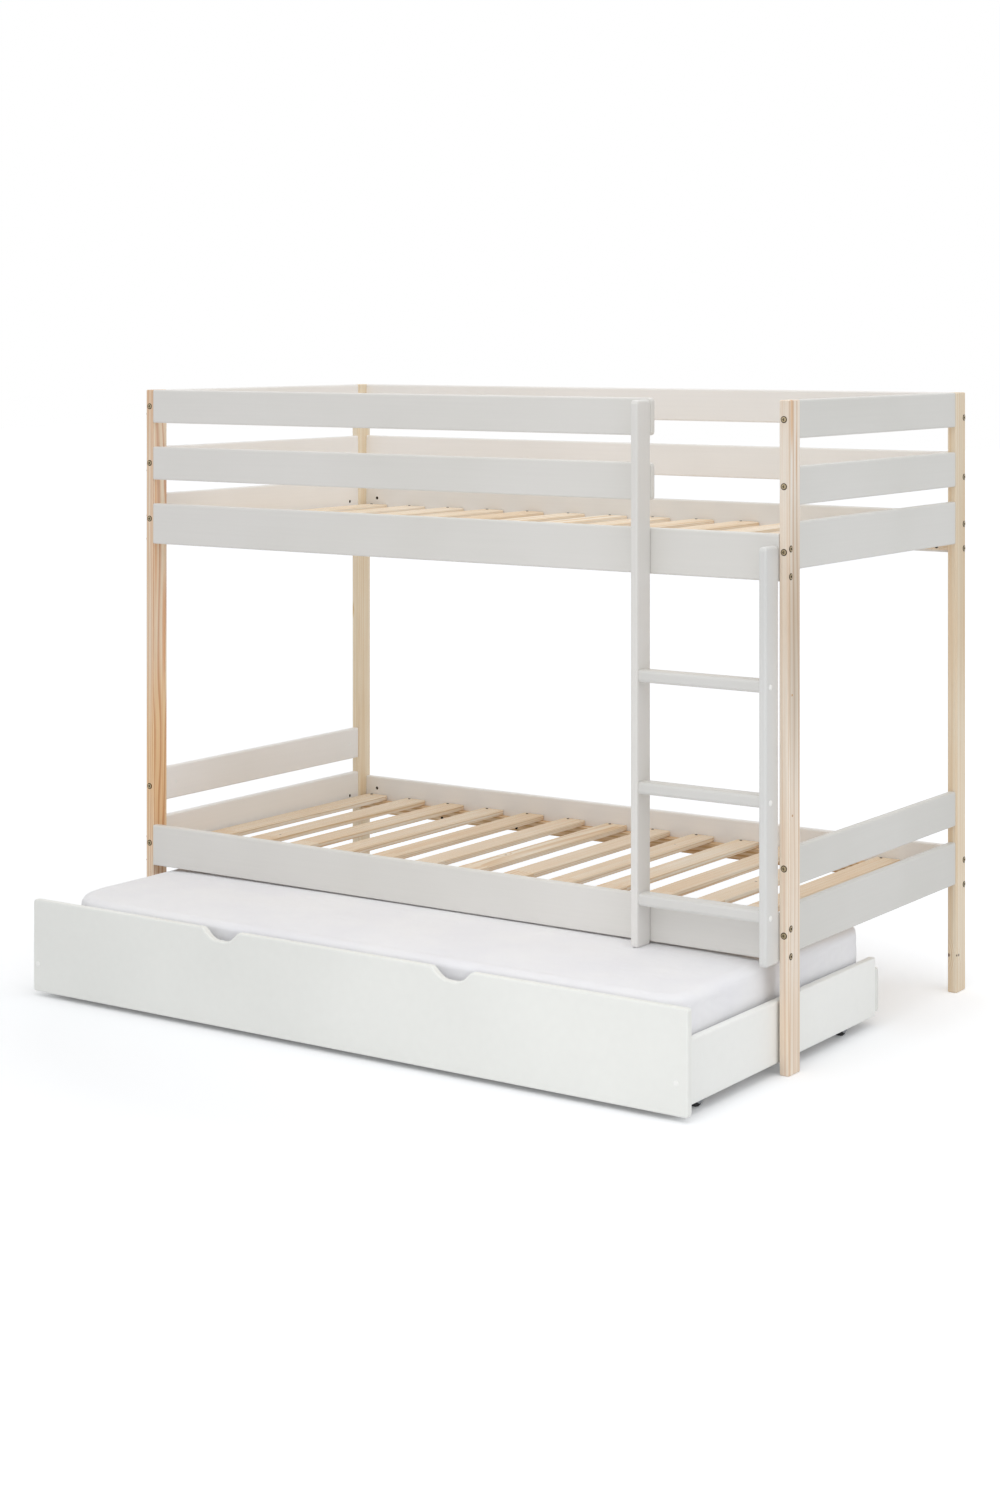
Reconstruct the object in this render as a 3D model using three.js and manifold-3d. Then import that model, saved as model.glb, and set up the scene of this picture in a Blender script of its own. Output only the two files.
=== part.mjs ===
// Bunk bed in pine with painted rails, a fixed ladder and a guest bed on casters underneath.
// Millimetres, +Z up. X runs along the bed, Y from its front to its back, and Z from the floor.
// The guest bed stands part-way out. The origin is on the floor, under the middle of the whole.

import * as THREE from "three";
import { mergeVertices } from "three/addons/utils/BufferGeometryUtils.js";
import Module from "manifold-3d";

const wasm = await Module();
wasm.setup();

// Whole bed, without the guest bed
const bedLength = 1980;
const bedDepth = 980;
const bedHeight = 1562;

// Posts
const postWidth = 26; // along the bed
const postDepth = 57; // across the bed
const postEdge = 4; // radius of the long edges
const postChamfer = 2; // at head and foot

// Rails and panels
const boardThickness = 20;
const boardEdge = 4; // radius of the long edges
const boardCorner = 8; // radius of a free corner, seen from its face
const guardHeight = 90;
const guardGap = 65; // from one guard rail to the next
const bunkRailHeight = 110;
const upperRailDrop = 420; // from the posts' tops to the bottom edge of the upper bunk rails
const lowerRailBottom = 264;
const endUpperRise = 26; // how far the end rails lie above the side rails, upper bunk
const endLowerRise = 18; // and lower bunk
const endHeadGap = 42; // from the lower end rail to the board over it
const seatGap = 0.25; // hairline between a piece and what it is fastened to

// Knock-down joints: a bolt through the post meets a barrel nut in the rail
const boltHeadRadius = 7.5;
const boltHeadDepth = 5;
const boltRadius = 3.5;
const nutRadius = 5;
const nutDepth = 15;
const nutInset = 40; // from the rail's end
const guardBoltUp = 24; // from the rail's bottom edge
const railLowBoltUp = 12;
const railHighBoltUp = 76;
const endRailBoltUp = 42;
const cutOverrun = 2; // how far a cutting shape starts outside what it cuts

// Slats and the ledgers that carry them
const slatCount = 14;
const slatWidth = 70;
const slatThickness = 15;
const slatEdge = 3;
const slatEndGap = 10; // from the posts to the first and the last slat
const slatSideGap = 2; // from the rails to a slat's ends
const slatDrop = 52; // from the rail's top edge to the slats
const ledgerWidth = 25;
const ledgerHeight = 36;
const ledgerEdge = 2;
const slatHousing = 1; // how deep a slat is let into the ledger of a made-up base

// Ladder
const stileThickness = 20;
const stileDepth = 62;
const stileEdge = 5;
const stileCorner = 9;
const stileBottom = 259;
const longStileDrop = 4; // how far the long stile ends below the posts' tops
const shortStileRise = 83; // the short one, over the bottom edge of the upper bunk rail
const rungLength = 325;
const rungHeight = 30;
const rungDepth = 40;
const rungEdge = 7;
const rungSetback = 5; // from the front of the stiles
const rungCount = 3;
const firstRungHeight = 374; // its middle
const rungPitch = 265;

// Guest bed
const pulledOut = 424; // from the posts to the back of the front panel
const panelEndGap = 11; // from the ends of the bed to the front panel
const panelHeight = 238;
const panelBottom = 12;
const gripOffset = 348; // from the middle of the panel
const gripWidth = 114;
const gripFootWidth = 54;
const gripDepth = 28;
const gripShoulder = 14; // radius of its top corners
const gripBend = 48; // radius of its bottom corners
const boxClearance = 6; // from the posts to the sides
const boxShallower = 43; // by how much its inside is shallower than the bed
const sideHeight = 145;
const sideBottom = 25;
const backHeight = 110;
const backBottom = 33;
const deckTop = 107;
const deckSlatCount = 14;
const deckEndGap = 12;

// Mattress of the guest bed
const mattressFromLeft = 3; // from the left side panel
const mattressFromRight = 2; // from the right side panel
const mattressBehindPanel = 14;
const mattressBeforeBack = 5;
const mattressHeight = 150;
const mattressFrontLeftCorner = 155;
const mattressFrontRightCorner = 80;
const mattressBackCorner = 68;
const mattressCrown = 2;
const mattressTopEdge = 30; // radius between its side and its top
const mattressFootEdge = 16;
const mattressBulge = 4; // how far the side swells at mid-height
const mattressDrawIn = 7; // how far the sides pull in between the corners

// Casters
const wheelRadius = 25;
const wheelWidth = 20;
const wheelShoulder = 4;
const wheelRimDepth = 6;
const wheelWebThickness = 8;
const hubRadius = 10;
const axleRadius = 4;
const axleClearance = 0.5;
const wheelSideGap = 1.5;
const bracketSheet = 2.5;
const bracketWidth = 34;
const bracketTop = 75;
const bracketCorner = 5;
const wheelTopGap = 3;
const frontCasterIn = 107; // from the back of the front panel to the axle
const backCasterIn = 125; // from the front of the back panel to the axle

// Fineness of round work
const edgeSteps = 2; // in each rounded edge
const baseEdgeSteps = 1; // in the edges of the made-up slat bases
const gripSteps = 4;
const boltSides = 8;
const wheelSides = 16;
const widestRoundShare = 0.45; // of a board's thickness, the largest edge radius it can take

const up = new THREE.Vector3(0, 0, 1);

// The finishes, one new material for each piece
const pine = () => new THREE.MeshStandardMaterial({ color: 0xdfc8a6, roughness: 0.6 });
const whitePaint = () => new THREE.MeshStandardMaterial({ color: 0xf1f0ec, roughness: 0.45 });
const cottonSheet = () => new THREE.MeshStandardMaterial({ color: 0xf0f0f4, roughness: 0.95 });
const blackNylon = () => new THREE.MeshStandardMaterial({ color: 0x1c1c1e, roughness: 0.4 });
const zincSteel = () =>
  new THREE.MeshStandardMaterial({ color: 0xa9acb0, roughness: 0.35, metalness: 1 });

// Turning a drawn section into a board

// Corners are [across, up, radius]. Each rounded one becomes an arc.
function roundedOutline(corners, steps = edgeSteps) {
  const points = [];
  corners.forEach(([across, high, radius], i) => {
    const corner = new THREE.Vector2(across, high);
    if (radius === 0) {
      points.push(corner);
      return;
    }
    const toLast = new THREE.Vector2(...corners.at(i - 1)).sub(corner).normalize();
    const toNext = new THREE.Vector2(...corners[(i + 1) % corners.length]).sub(corner).normalize();
    const halfAngle = Math.acos(toLast.dot(toNext)) / 2;
    const middle = toLast.clone().add(toNext).normalize();
    const centre = corner.clone().addScaledVector(middle, radius / Math.sin(halfAngle));
    const reach = radius / Math.tan(halfAngle);
    const first = corner.clone().addScaledVector(toLast, reach).sub(centre);
    const last = corner.clone().addScaledVector(toNext, reach).sub(centre);
    const sweep = Math.atan2(first.cross(last), first.dot(last));
    for (let step = 0; step <= steps; step++) {
      const turned = first.clone().rotateAround(new THREE.Vector2(), (sweep * step) / steps);
      points.push(turned.add(centre));
    }
  });
  return new THREE.Shape(points);
}

function roundedRectangle(width, height, radius, steps) {
  const corners = [
    [0, 0, radius],
    [width, 0, radius],
    [width, height, radius],
    [0, height, radius],
  ];
  return roundedOutline(corners, steps);
}

// A section pushed through to a thickness from 0, with its rims rounded where asked
function pushed(shape, thickness, rim = 0, rimSteps = 2) {
  const geometry = new THREE.ExtrudeGeometry(shape, {
    depth: thickness - 2 * rim,
    bevelEnabled: rim > 0,
    bevelThickness: rim,
    bevelSize: rim,
    bevelOffset: -rim,
    bevelSegments: rimSteps,
  });
  return geometry.translate(0, 0, rim);
}

// Drawn on Y and Z, pushed along X
function pushedAlongX(shape, thickness, rim) {
  const turn = new THREE.Matrix4().makeBasis(
    new THREE.Vector3(0, 1, 0),
    new THREE.Vector3(0, 0, 1),
    new THREE.Vector3(1, 0, 0),
  );
  return pushed(shape, thickness, rim).applyMatrix4(turn);
}

// Drawn on X and Z, pushed along Y
function pushedAlongY(shape, thickness, rim) {
  const turn = new THREE.Matrix4().makeBasis(
    new THREE.Vector3(1, 0, 0),
    new THREE.Vector3(0, 0, 1),
    new THREE.Vector3(0, -1, 0),
  );
  return pushed(shape, thickness, rim).applyMatrix4(turn).translate(0, thickness, 0);
}

// Joining and cutting

function toSolid(geometry) {
  const bare = geometry.clone();
  bare.deleteAttribute("normal");
  bare.deleteAttribute("uv");
  const merged = mergeVertices(bare);
  const index = Array.from(merged.index.array);
  const kept = [];
  for (let i = 0; i < index.length; i += 3) {
    const [a, b, c] = index.slice(i, i + 3);
    if (a !== b && b !== c && c !== a) kept.push(a, b, c);
  }
  return new wasm.Manifold(
    new wasm.Mesh({
      numProp: 3,
      vertProperties: merged.attributes.position.array,
      triVerts: Uint32Array.from(kept),
    }),
  );
}

function toGeometry(solid) {
  const mesh = solid.getMesh();
  const geometry = new THREE.BufferGeometry();
  geometry.setAttribute("position", new THREE.BufferAttribute(mesh.vertProperties, 3));
  geometry.setIndex(new THREE.BufferAttribute(mesh.triVerts, 1));
  geometry.computeVertexNormals();
  return geometry;
}

// A turned cutter whose profile is [radius, depth], sunk from a point along a direction
function turnedCutter(profile, start, direction) {
  const points = profile.map(([radius, depth]) => new THREE.Vector2(radius, depth));
  const side = new THREE.Vector3().crossVectors(up, direction);
  const turn = new THREE.Matrix4().makeBasis(up, direction, side).setPosition(start);
  return toSolid(new THREE.LatheGeometry(points, boltSides).applyMatrix4(turn));
}

function roundHole(radius, depth, start, direction) {
  const profile = [
    [0, -cutOverrun],
    [radius, -cutOverrun],
    [radius, depth],
    [0, depth],
  ];
  return turnedCutter(profile, start, direction);
}

// Right through a post, with a wide recess for the bolt's head
function boltHole(through, start, direction) {
  const profile = [
    [0, -cutOverrun],
    [boltHeadRadius, -cutOverrun],
    [boltHeadRadius, boltHeadDepth],
    [boltRadius, boltHeadDepth],
    [boltRadius, through + cutOverrun],
    [0, through + cutOverrun],
  ];
  return turnedCutter(profile, start, direction);
}

// The rails, from the bottom edge of each and the heights of its bolts

const topGuardBottom = bedHeight - guardHeight;
const lowGuardBottom = topGuardBottom - guardGap - guardHeight;
const upperRailBottom = bedHeight - upperRailDrop;
const endLowerBottom = lowerRailBottom + endLowerRise;

const sideRails = [
  { name: "top_guard", bottom: topGuardBottom, height: guardHeight, bolts: [guardBoltUp] },
  { name: "low_guard", bottom: lowGuardBottom, height: guardHeight, bolts: [guardBoltUp] },
  {
    name: "upper_bunk",
    bottom: upperRailBottom,
    height: bunkRailHeight,
    bolts: [railLowBoltUp, railHighBoltUp],
  },
  {
    name: "lower_bunk",
    bottom: lowerRailBottom,
    height: bunkRailHeight,
    bolts: [railLowBoltUp, railHighBoltUp],
  },
];

const endRails = [
  { name: "top_guard", bottom: topGuardBottom, height: guardHeight, bolts: [guardHeight / 2] },
  { name: "low_guard", bottom: lowGuardBottom, height: guardHeight, bolts: [guardHeight / 2] },
  {
    name: "upper_bunk",
    bottom: upperRailBottom + endUpperRise,
    height: bunkRailHeight,
    bolts: [endRailBoltUp],
  },
  {
    name: "head_board",
    bottom: endLowerBottom + bunkRailHeight + endHeadGap,
    height: guardHeight,
    bolts: [guardHeight / 2],
  },
  { name: "lower_bunk", bottom: endLowerBottom, height: bunkRailHeight, bolts: [endRailBoltUp] },
];

// The two front guards end at the ladder, so they have a bolt at one end only
const endsAtLadder = (rail, front) => front && rail.name.endsWith("guard");

const postInnerLeft = postWidth;
const postInnerRight = bedLength - postWidth;
const shortStileLeft = postInnerRight - stileThickness;
const longStileRight = shortStileLeft - rungLength;

// A board along X, with its outside on y = 0 and its inside on y = its thickness
function squareEndedBoard(length, thickness, height, edge, steps) {
  const radius = Math.min(edge, thickness * widestRoundShare);
  return pushedAlongX(roundedRectangle(thickness, height, radius, steps), length);
}

// The same, but with its far end rounded all over
function freeEndedBoard(length, height) {
  const face = roundedOutline([
    [-cutOverrun - boardCorner, 0, 0],
    [length, 0, boardCorner],
    [length, height, boardCorner],
    [-cutOverrun - boardCorner, height, 0],
  ]);
  const buttEnd = new THREE.BoxGeometry(length, boardThickness * 2, height * 2);
  buttEnd.translate(-length / 2, boardThickness / 2, height / 2);
  const rim = Math.min(boardEdge, boardThickness * widestRoundShare);
  return toGeometry(toSolid(pushedAlongY(face, boardThickness, rim)).subtract(toSolid(buttEnd)));
}

function drilledRail(length, { height, bolts }, freeEnd) {
  const board = freeEnd
    ? freeEndedBoard(length, height)
    : squareEndedBoard(length, boardThickness, height, boardEdge);
  let solid = toSolid(board);
  const ends = freeEnd ? [[0, 1]] : [[0, 1], [length, -1]];
  const inward = new THREE.Vector3(0, -1, 0);
  for (const [end, way] of ends) {
    for (const high of bolts) {
      const nutPlace = new THREE.Vector3(end + way * nutInset, boardThickness, high);
      solid = solid.subtract(roundHole(nutRadius, nutDepth, nutPlace, inward));
      const boltPlace = new THREE.Vector3(end, boardThickness / 2, high);
      const along = new THREE.Vector3(way, 0, 0);
      solid = solid.subtract(roundHole(boltRadius, nutInset, boltPlace, along));
    }
  }
  return toGeometry(solid);
}

function post(right, back) {
  const section = roundedRectangle(postWidth, postDepth, postEdge);
  let solid = toSolid(pushed(section, bedHeight, postChamfer, 1));
  const outerEnd = right ? postWidth : 0;
  const outerFace = back ? postDepth : 0;
  const intoEnd = new THREE.Vector3(right ? -1 : 1, 0, 0);
  const intoFace = new THREE.Vector3(0, back ? -1 : 1, 0);
  const railMiddle = outerFace + (intoFace.y * boardThickness) / 2;
  for (const rail of sideRails) {
    if (right && endsAtLadder(rail, !back)) continue;
    for (const high of rail.bolts) {
      const start = new THREE.Vector3(outerEnd, railMiddle, rail.bottom + high);
      solid = solid.subtract(boltHole(postWidth, start, intoEnd));
    }
  }
  for (const rail of endRails) {
    for (const high of rail.bolts) {
      const start = new THREE.Vector3(postWidth / 2, outerFace, rail.bottom + high);
      solid = solid.subtract(boltHole(postDepth, start, intoFace));
    }
  }
  return toGeometry(solid);
}

// Building the scene

function add(parent, name, geometry, material, [x, y, z], turn = 0) {
  const mesh = new THREE.Mesh(geometry, material);
  mesh.name = name;
  mesh.position.set(x, y, z);
  mesh.rotation.z = turn;
  parent.add(mesh);
  return mesh;
}

function addPosts(parent) {
  for (const [side, x] of [["left", 0], ["right", postInnerRight]]) {
    for (const [face, y] of [["front", 0], ["back", bedDepth - postDepth]]) {
      const geometry = post(side === "right", face === "back");
      add(parent, `post_${face}_${side}`, geometry, pine(), [x, y, 0]);
    }
  }
}

function addSideRails(parent) {
  const start = postInnerLeft + seatGap;
  const fullLength = postInnerRight - seatGap - start;
  for (const rail of sideRails) {
    const short = endsAtLadder(rail, true);
    const length = short ? longStileRight - start : fullLength;
    const front = drilledRail(length, rail, short);
    add(parent, `rail_front_${rail.name}`, front, whitePaint(), [start, 0, rail.bottom]);
    const back = drilledRail(fullLength, rail, false);
    const place = [start + fullLength, bedDepth, rail.bottom];
    add(parent, `rail_back_${rail.name}`, back, whitePaint(), place, Math.PI);
  }
}

function addEndRails(parent) {
  const start = postDepth + seatGap;
  const length = bedDepth - 2 * start;
  const inset = (postWidth - boardThickness) / 2;
  for (const rail of endRails) {
    const left = [inset, start + length, rail.bottom];
    const right = [bedLength - inset, start, rail.bottom];
    add(parent, `end_left_${rail.name}`, drilledRail(length, rail), whitePaint(), left, -Math.PI / 2);
    add(parent, `end_right_${rail.name}`, drilledRail(length, rail), whitePaint(), right, Math.PI / 2);
  }
}

// A slat runs along Y, with its near left bottom corner at 0
function slat(length, steps) {
  const radius = Math.min(slatEdge, slatThickness * widestRoundShare);
  return pushedAlongY(roundedRectangle(slatWidth, slatThickness, radius, steps), length);
}

function ledger(length, steps) {
  return squareEndedBoard(length, ledgerWidth, ledgerHeight, ledgerEdge, steps);
}

// The left edges of a row of slats between two limits
function slatPlaces(count, left, right) {
  const pitch = (right - left - slatWidth) / (count - 1);
  return Array.from({ length: count }, (_, i) => left + i * pitch);
}

// Slats and two ledgers as one frame, with the slats' tops at z = 0, front to back from y = 0
function madeUpBase(count, left, right, depth, ledgerStart, ledgerLength) {
  const slatLength = depth - 2 * slatSideGap;
  const ledgerLow = -slatThickness + slatHousing - ledgerHeight;
  const ledgerFronts = [seatGap, depth - seatGap - ledgerWidth];
  let base = null;
  for (const y of ledgerFronts) {
    const board = ledger(ledgerLength, baseEdgeSteps);
    const piece = toSolid(board.translate(ledgerStart, y, ledgerLow));
    base = base ? base.add(piece) : piece;
  }
  for (const x of slatPlaces(count, left, right)) {
    const board = slat(slatLength, baseEdgeSteps);
    base = base.add(toSolid(board.translate(x, slatSideGap, -slatThickness)));
  }
  return toGeometry(base);
}

function addBunkBases(parent) {
  const left = postInnerLeft + slatEndGap;
  const right = postInnerRight - slatEndGap;
  const innerDepth = bedDepth - 2 * boardThickness;
  const ledgerStart = postInnerLeft + seatGap;
  const ledgerLength = postInnerRight - seatGap - ledgerStart;

  const upperTop = upperRailBottom + bunkRailHeight - slatDrop;
  const upper = madeUpBase(slatCount, left, right, innerDepth, ledgerStart, ledgerLength);
  add(parent, "upper_slat_base", upper, pine(), [0, boardThickness, upperTop]);

  const slatLow = lowerRailBottom + bunkRailHeight - slatDrop - slatThickness;
  const ledgerLow = slatLow - seatGap - ledgerHeight;
  const ledgerFronts = [
    ["front", boardThickness + seatGap],
    ["back", bedDepth - boardThickness - seatGap - ledgerWidth],
  ];
  for (const [face, y] of ledgerFronts) {
    add(parent, `ledger_${face}`, ledger(ledgerLength), pine(), [ledgerStart, y, ledgerLow]);
  }
  slatPlaces(slatCount, left, right).forEach((x, i) => {
    const name = `slat_lower_${String(i + 1).padStart(2, "0")}`;
    const place = [x, boardThickness + slatSideGap, slatLow];
    add(parent, name, slat(innerDepth - 2 * slatSideGap), pine(), place);
  });
}

function ladderStile(top) {
  const face = roundedRectangle(stileDepth, top - stileBottom, stileCorner);
  const rim = Math.min(stileEdge, stileThickness * widestRoundShare);
  return pushedAlongX(face, stileThickness, rim);
}

function addLadder(parent) {
  const stileFront = -stileDepth - seatGap;
  const long = [longStileRight - stileThickness, stileFront, stileBottom];
  add(parent, "ladder_stile_left", ladderStile(bedHeight - longStileDrop), whitePaint(), long);
  const short = [shortStileLeft, stileFront, stileBottom];
  add(parent, "ladder_stile_right", ladderStile(upperRailBottom + shortStileRise), whitePaint(), short);
  for (let i = 0; i < rungCount; i++) {
    const rung = squareEndedBoard(rungLength - 2 * seatGap, rungDepth, rungHeight, rungEdge);
    const low = firstRungHeight + i * rungPitch - rungHeight / 2;
    const place = [longStileRight + seatGap, stileFront + rungSetback, low];
    add(parent, `ladder_rung_${i + 1}`, rung, whitePaint(), place);
  }
}

// Guest bed. Its own frame has y = 0 at the back of its front panel.

const boxLeft = postInnerLeft + boxClearance;
const boxRight = postInnerRight - boxClearance;
const boxDepth = bedDepth - boxShallower; // between the front and the back panel
const panelLength = bedLength - 2 * panelEndGap;

function frontPanel() {
  const gripCorners = (middle) => [
    [middle + gripWidth / 2, panelHeight, gripShoulder],
    [middle + gripFootWidth / 2, panelHeight - gripDepth, gripBend],
    [middle - gripFootWidth / 2, panelHeight - gripDepth, gripBend],
    [middle - gripWidth / 2, panelHeight, gripShoulder],
  ];
  const middle = panelLength / 2;
  const corners = [
    [0, 0, boardCorner],
    [panelLength, 0, boardCorner],
    [panelLength, panelHeight, boardCorner],
    ...gripCorners(middle + gripOffset),
    ...gripCorners(middle - gripOffset),
    [0, panelHeight, boardCorner],
  ];
  const face = roundedOutline(corners, gripSteps);
  const rim = Math.min(boardEdge, boardThickness * widestRoundShare);
  return pushedAlongY(face, boardThickness, rim);
}

function sidePanel() {
  const board = squareEndedBoard(boxDepth - 2 * seatGap, boardThickness, sideHeight, boardEdge);
  return board.rotateZ(Math.PI / 2).translate(boardThickness, 0, 0);
}

function backPanel() {
  const face = roundedRectangle(boxRight - boxLeft, backHeight, boardCorner);
  const rim = Math.min(boardEdge, boardThickness * widestRoundShare);
  return pushedAlongY(face, boardThickness, rim);
}

const mattressLength = boxRight - boxLeft - 2 * boardThickness - mattressFromLeft - mattressFromRight;
const mattressDepth = boxDepth - mattressBehindPanel - mattressBeforeBack;

// One level line round the mattress, a rounded rectangle drawn in by an inset at a height
function mattressRing(inset, high) {
  const halfLength = mattressLength / 2 - inset;
  const halfDepth = mattressDepth / 2 - inset;
  const cornerSteps = 4;
  const longSteps = 6;
  const shortSteps = 4;
  const quarters = [
    [1, 1, mattressBackCorner],
    [-1, 1, mattressBackCorner],
    [-1, -1, mattressFrontLeftCorner],
    [1, -1, mattressFrontRightCorner],
  ];
  const onCorner = (quarter, share) => {
    const [sideX, sideY, corner] = quarters[quarter];
    const radius = Math.max(corner - inset, corner / 3);
    const angle = ((quarter + share) * Math.PI) / 2;
    const x = sideX * (halfLength - radius) + radius * Math.cos(angle);
    return [x, sideY * (halfDepth - radius) + radius * Math.sin(angle)];
  };
  const ring = [];
  for (let quarter = 0; quarter < quarters.length; quarter++) {
    for (let step = 0; step <= cornerSteps; step++) ring.push(onCorner(quarter, step / cornerSteps));
    const from = ring[ring.length - 1];
    const to = onCorner((quarter + 1) % quarters.length, 0);
    const steps = quarter % 2 === 0 ? longSteps : shortSteps;
    for (let step = 1; step < steps; step++) {
      const share = step / steps;
      ring.push([from[0] + (to[0] - from[0]) * share, from[1] + (to[1] - from[1]) * share]);
    }
  }
  return ring.map(([x, y]) => {
    const alongShare = (2 * x) / mattressLength;
    const acrossShare = (2 * y) / mattressDepth;
    const pullX = mattressDrawIn * (1 - acrossShare ** 2) * alongShare;
    const pullY = mattressDrawIn * (1 - alongShare ** 2) * acrossShare;
    return [x - pullX, y - pullY, high];
  });
}

// A made-up mattress: flat below, swelling sides, rounded rims and a crowned top
function mattress() {
  const rings = [];
  const rimSteps = 4;
  const quarterTurn = Math.PI / 2;
  for (let step = 0; step <= rimSteps; step++) {
    const angle = (quarterTurn * step) / rimSteps;
    const inset = mattressBulge + mattressFootEdge * (1 - Math.sin(angle));
    rings.push(mattressRing(inset, mattressFootEdge * (1 - Math.cos(angle))));
  }
  const topRimHeight = mattressHeight - mattressCrown;
  rings.push(mattressRing(0, (topRimHeight - mattressTopEdge + mattressFootEdge) / 2));
  for (let step = 0; step <= rimSteps; step++) {
    const angle = (quarterTurn * step) / rimSteps;
    const inset = mattressBulge + mattressTopEdge * (1 - Math.cos(angle));
    rings.push(mattressRing(inset, topRimHeight - mattressTopEdge * (1 - Math.sin(angle))));
  }
  const crownSteps = 4;
  const edge = mattressBulge + mattressTopEdge;
  const flatInset = mattressDepth / 2 - mattressFrontLeftCorner;
  for (let step = 1; step <= crownSteps; step++) {
    const share = step / crownSteps;
    const rise = mattressCrown * Math.sin(quarterTurn * share);
    rings.push(mattressRing(edge + (flatInset - edge) * share ** 2, topRimHeight + rise));
  }

  const around = rings[0].length;
  const points = rings.flat();
  const bottomCentre = points.length;
  points.push([0, 0, 0]);
  const topCentre = points.length;
  points.push([0, 0, mattressHeight]);
  const faces = [];
  for (let i = 0; i < around; i++) {
    const next = (i + 1) % around;
    faces.push(bottomCentre, next, i);
    for (let ring = 0; ring + 1 < rings.length; ring++) {
      const low = ring * around;
      const high = low + around;
      faces.push(low + i, low + next, high + next, low + i, high + next, high + i);
    }
    const last = (rings.length - 1) * around;
    faces.push(topCentre, last + i, last + next);
  }
  const geometry = new THREE.BufferGeometry();
  geometry.setAttribute("position", new THREE.Float32BufferAttribute(points.flat(), 3));
  geometry.setIndex(faces);
  geometry.computeVertexNormals();
  return geometry;
}

// A caster's own frame has its axle's middle at 0 and its mounting flange towards +X.

const bracketSpan = wheelWidth + 2 * (wheelSideGap + bracketSheet);

function casterBracket() {
  const low = -bracketWidth / 2;
  const bridge = wheelRadius + wheelTopGap;
  const outside = bracketSpan / 2;
  const inside = outside - bracketSheet;
  const flangeTop = bracketTop - wheelRadius;
  const fold = roundedOutline([
    [-outside, low, 0],
    [-inside, low, 0],
    [-inside, bridge, 0],
    [inside, bridge, 0],
    [inside, low, 0],
    [outside, low, 0],
    [outside, flangeTop, 0],
    [inside, flangeTop, 0],
    [inside, bridge + bracketSheet, 0],
    [-outside, bridge + bracketSheet, 0],
  ]);
  const half = bracketWidth / 2;
  const side = roundedOutline([
    [-half, low, half * 2 * widestRoundShare],
    [half, low, half * 2 * widestRoundShare],
    [half, flangeTop, bracketCorner],
    [-half, flangeTop, bracketCorner],
  ]);
  const folded = toSolid(pushedAlongY(fold, bracketWidth).translate(0, -half, 0));
  const trimmed = toSolid(pushedAlongX(side, bracketSpan).translate(-outside, 0, 0));
  const axle = new THREE.CylinderGeometry(axleRadius, axleRadius, bracketSpan, boltSides);
  return toGeometry(folded.intersect(trimmed).add(toSolid(axle.rotateZ(Math.PI / 2))));
}

function casterWheel() {
  const bore = axleRadius + axleClearance;
  const face = wheelWidth / 2;
  const web = wheelWebThickness / 2;
  const rim = wheelRadius - wheelRimDepth;
  const half = [
    [bore, face],
    [hubRadius, face],
    [hubRadius, web],
    [rim, web],
    [rim, face],
    [wheelRadius - wheelShoulder, face],
    [wheelRadius - wheelShoulder * (1 - Math.SQRT1_2), face - wheelShoulder * (1 - Math.SQRT1_2)],
    [wheelRadius, face - wheelShoulder],
  ];
  const profile = [...half.map(([radius, side]) => [radius, -side]), ...half.reverse()];
  const points = [...profile, profile[0]].map(([radius, side]) => new THREE.Vector2(radius, side));
  const turn = new THREE.Matrix4().makeBasis(
    new THREE.Vector3(0, 0, 1),
    new THREE.Vector3(1, 0, 0),
    new THREE.Vector3(0, 1, 0),
  );
  return new THREE.LatheGeometry(points, wheelSides).applyMatrix4(turn);
}

function addCasters(parent) {
  const fromSide = boardThickness + seatGap + bracketSpan / 2;
  const sides = [
    ["left", boxLeft + fromSide, Math.PI],
    ["right", boxRight - fromSide, 0],
  ];
  const axles = [["front", frontCasterIn], ["back", boxDepth - backCasterIn]];
  for (const [side, x, turn] of sides) {
    for (const [face, y] of axles) {
      const place = [x, y, wheelRadius];
      add(parent, `caster_bracket_${face}_${side}`, casterBracket(), zincSteel(), place, turn);
      add(parent, `caster_wheel_${face}_${side}`, casterWheel(), blackNylon(), place);
    }
  }
}

function guestBed() {
  const group = new THREE.Group();
  group.position.y = -pulledOut;
  const panelPlace = [panelEndGap, -boardThickness, panelBottom];
  add(group, "trundle_front_panel", frontPanel(), whitePaint(), panelPlace);
  add(group, "trundle_back_panel", backPanel(), whitePaint(), [boxLeft, boxDepth, backBottom]);
  add(group, "trundle_side_left", sidePanel(), whitePaint(), [boxLeft, seatGap, sideBottom]);
  const rightSide = [boxRight - boardThickness, seatGap, sideBottom];
  add(group, "trundle_side_right", sidePanel(), whitePaint(), rightSide);

  const innerLeft = boxLeft + boardThickness;
  const innerRight = boxRight - boardThickness;
  const first = innerLeft + deckEndGap;
  const last = innerRight - deckEndGap;
  const ledgerStart = innerLeft + seatGap;
  const ledgerLength = innerRight - seatGap - ledgerStart;
  const base = madeUpBase(deckSlatCount, first, last, boxDepth, ledgerStart, ledgerLength);
  add(group, "trundle_slat_base", base, pine(), [0, 0, deckTop]);

  const place = [
    innerRight - mattressFromRight - mattressLength / 2,
    mattressBehindPanel + mattressDepth / 2,
    deckTop + seatGap,
  ];
  add(group, "trundle_mattress", mattress(), cottonSheet(), place);
  addCasters(group);
  return group;
}

const bunkBed = new THREE.Group();
const footprintFront = -pulledOut - boardThickness;
bunkBed.position.set(-bedLength / 2, -(footprintFront + bedDepth) / 2, 0);
addPosts(bunkBed);
addSideRails(bunkBed);
addEndRails(bunkBed);
addBunkBases(bunkBed);
addLadder(bunkBed);
bunkBed.add(guestBed());

const model = new THREE.Group();
model.add(bunkBed);

export default model;
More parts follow.
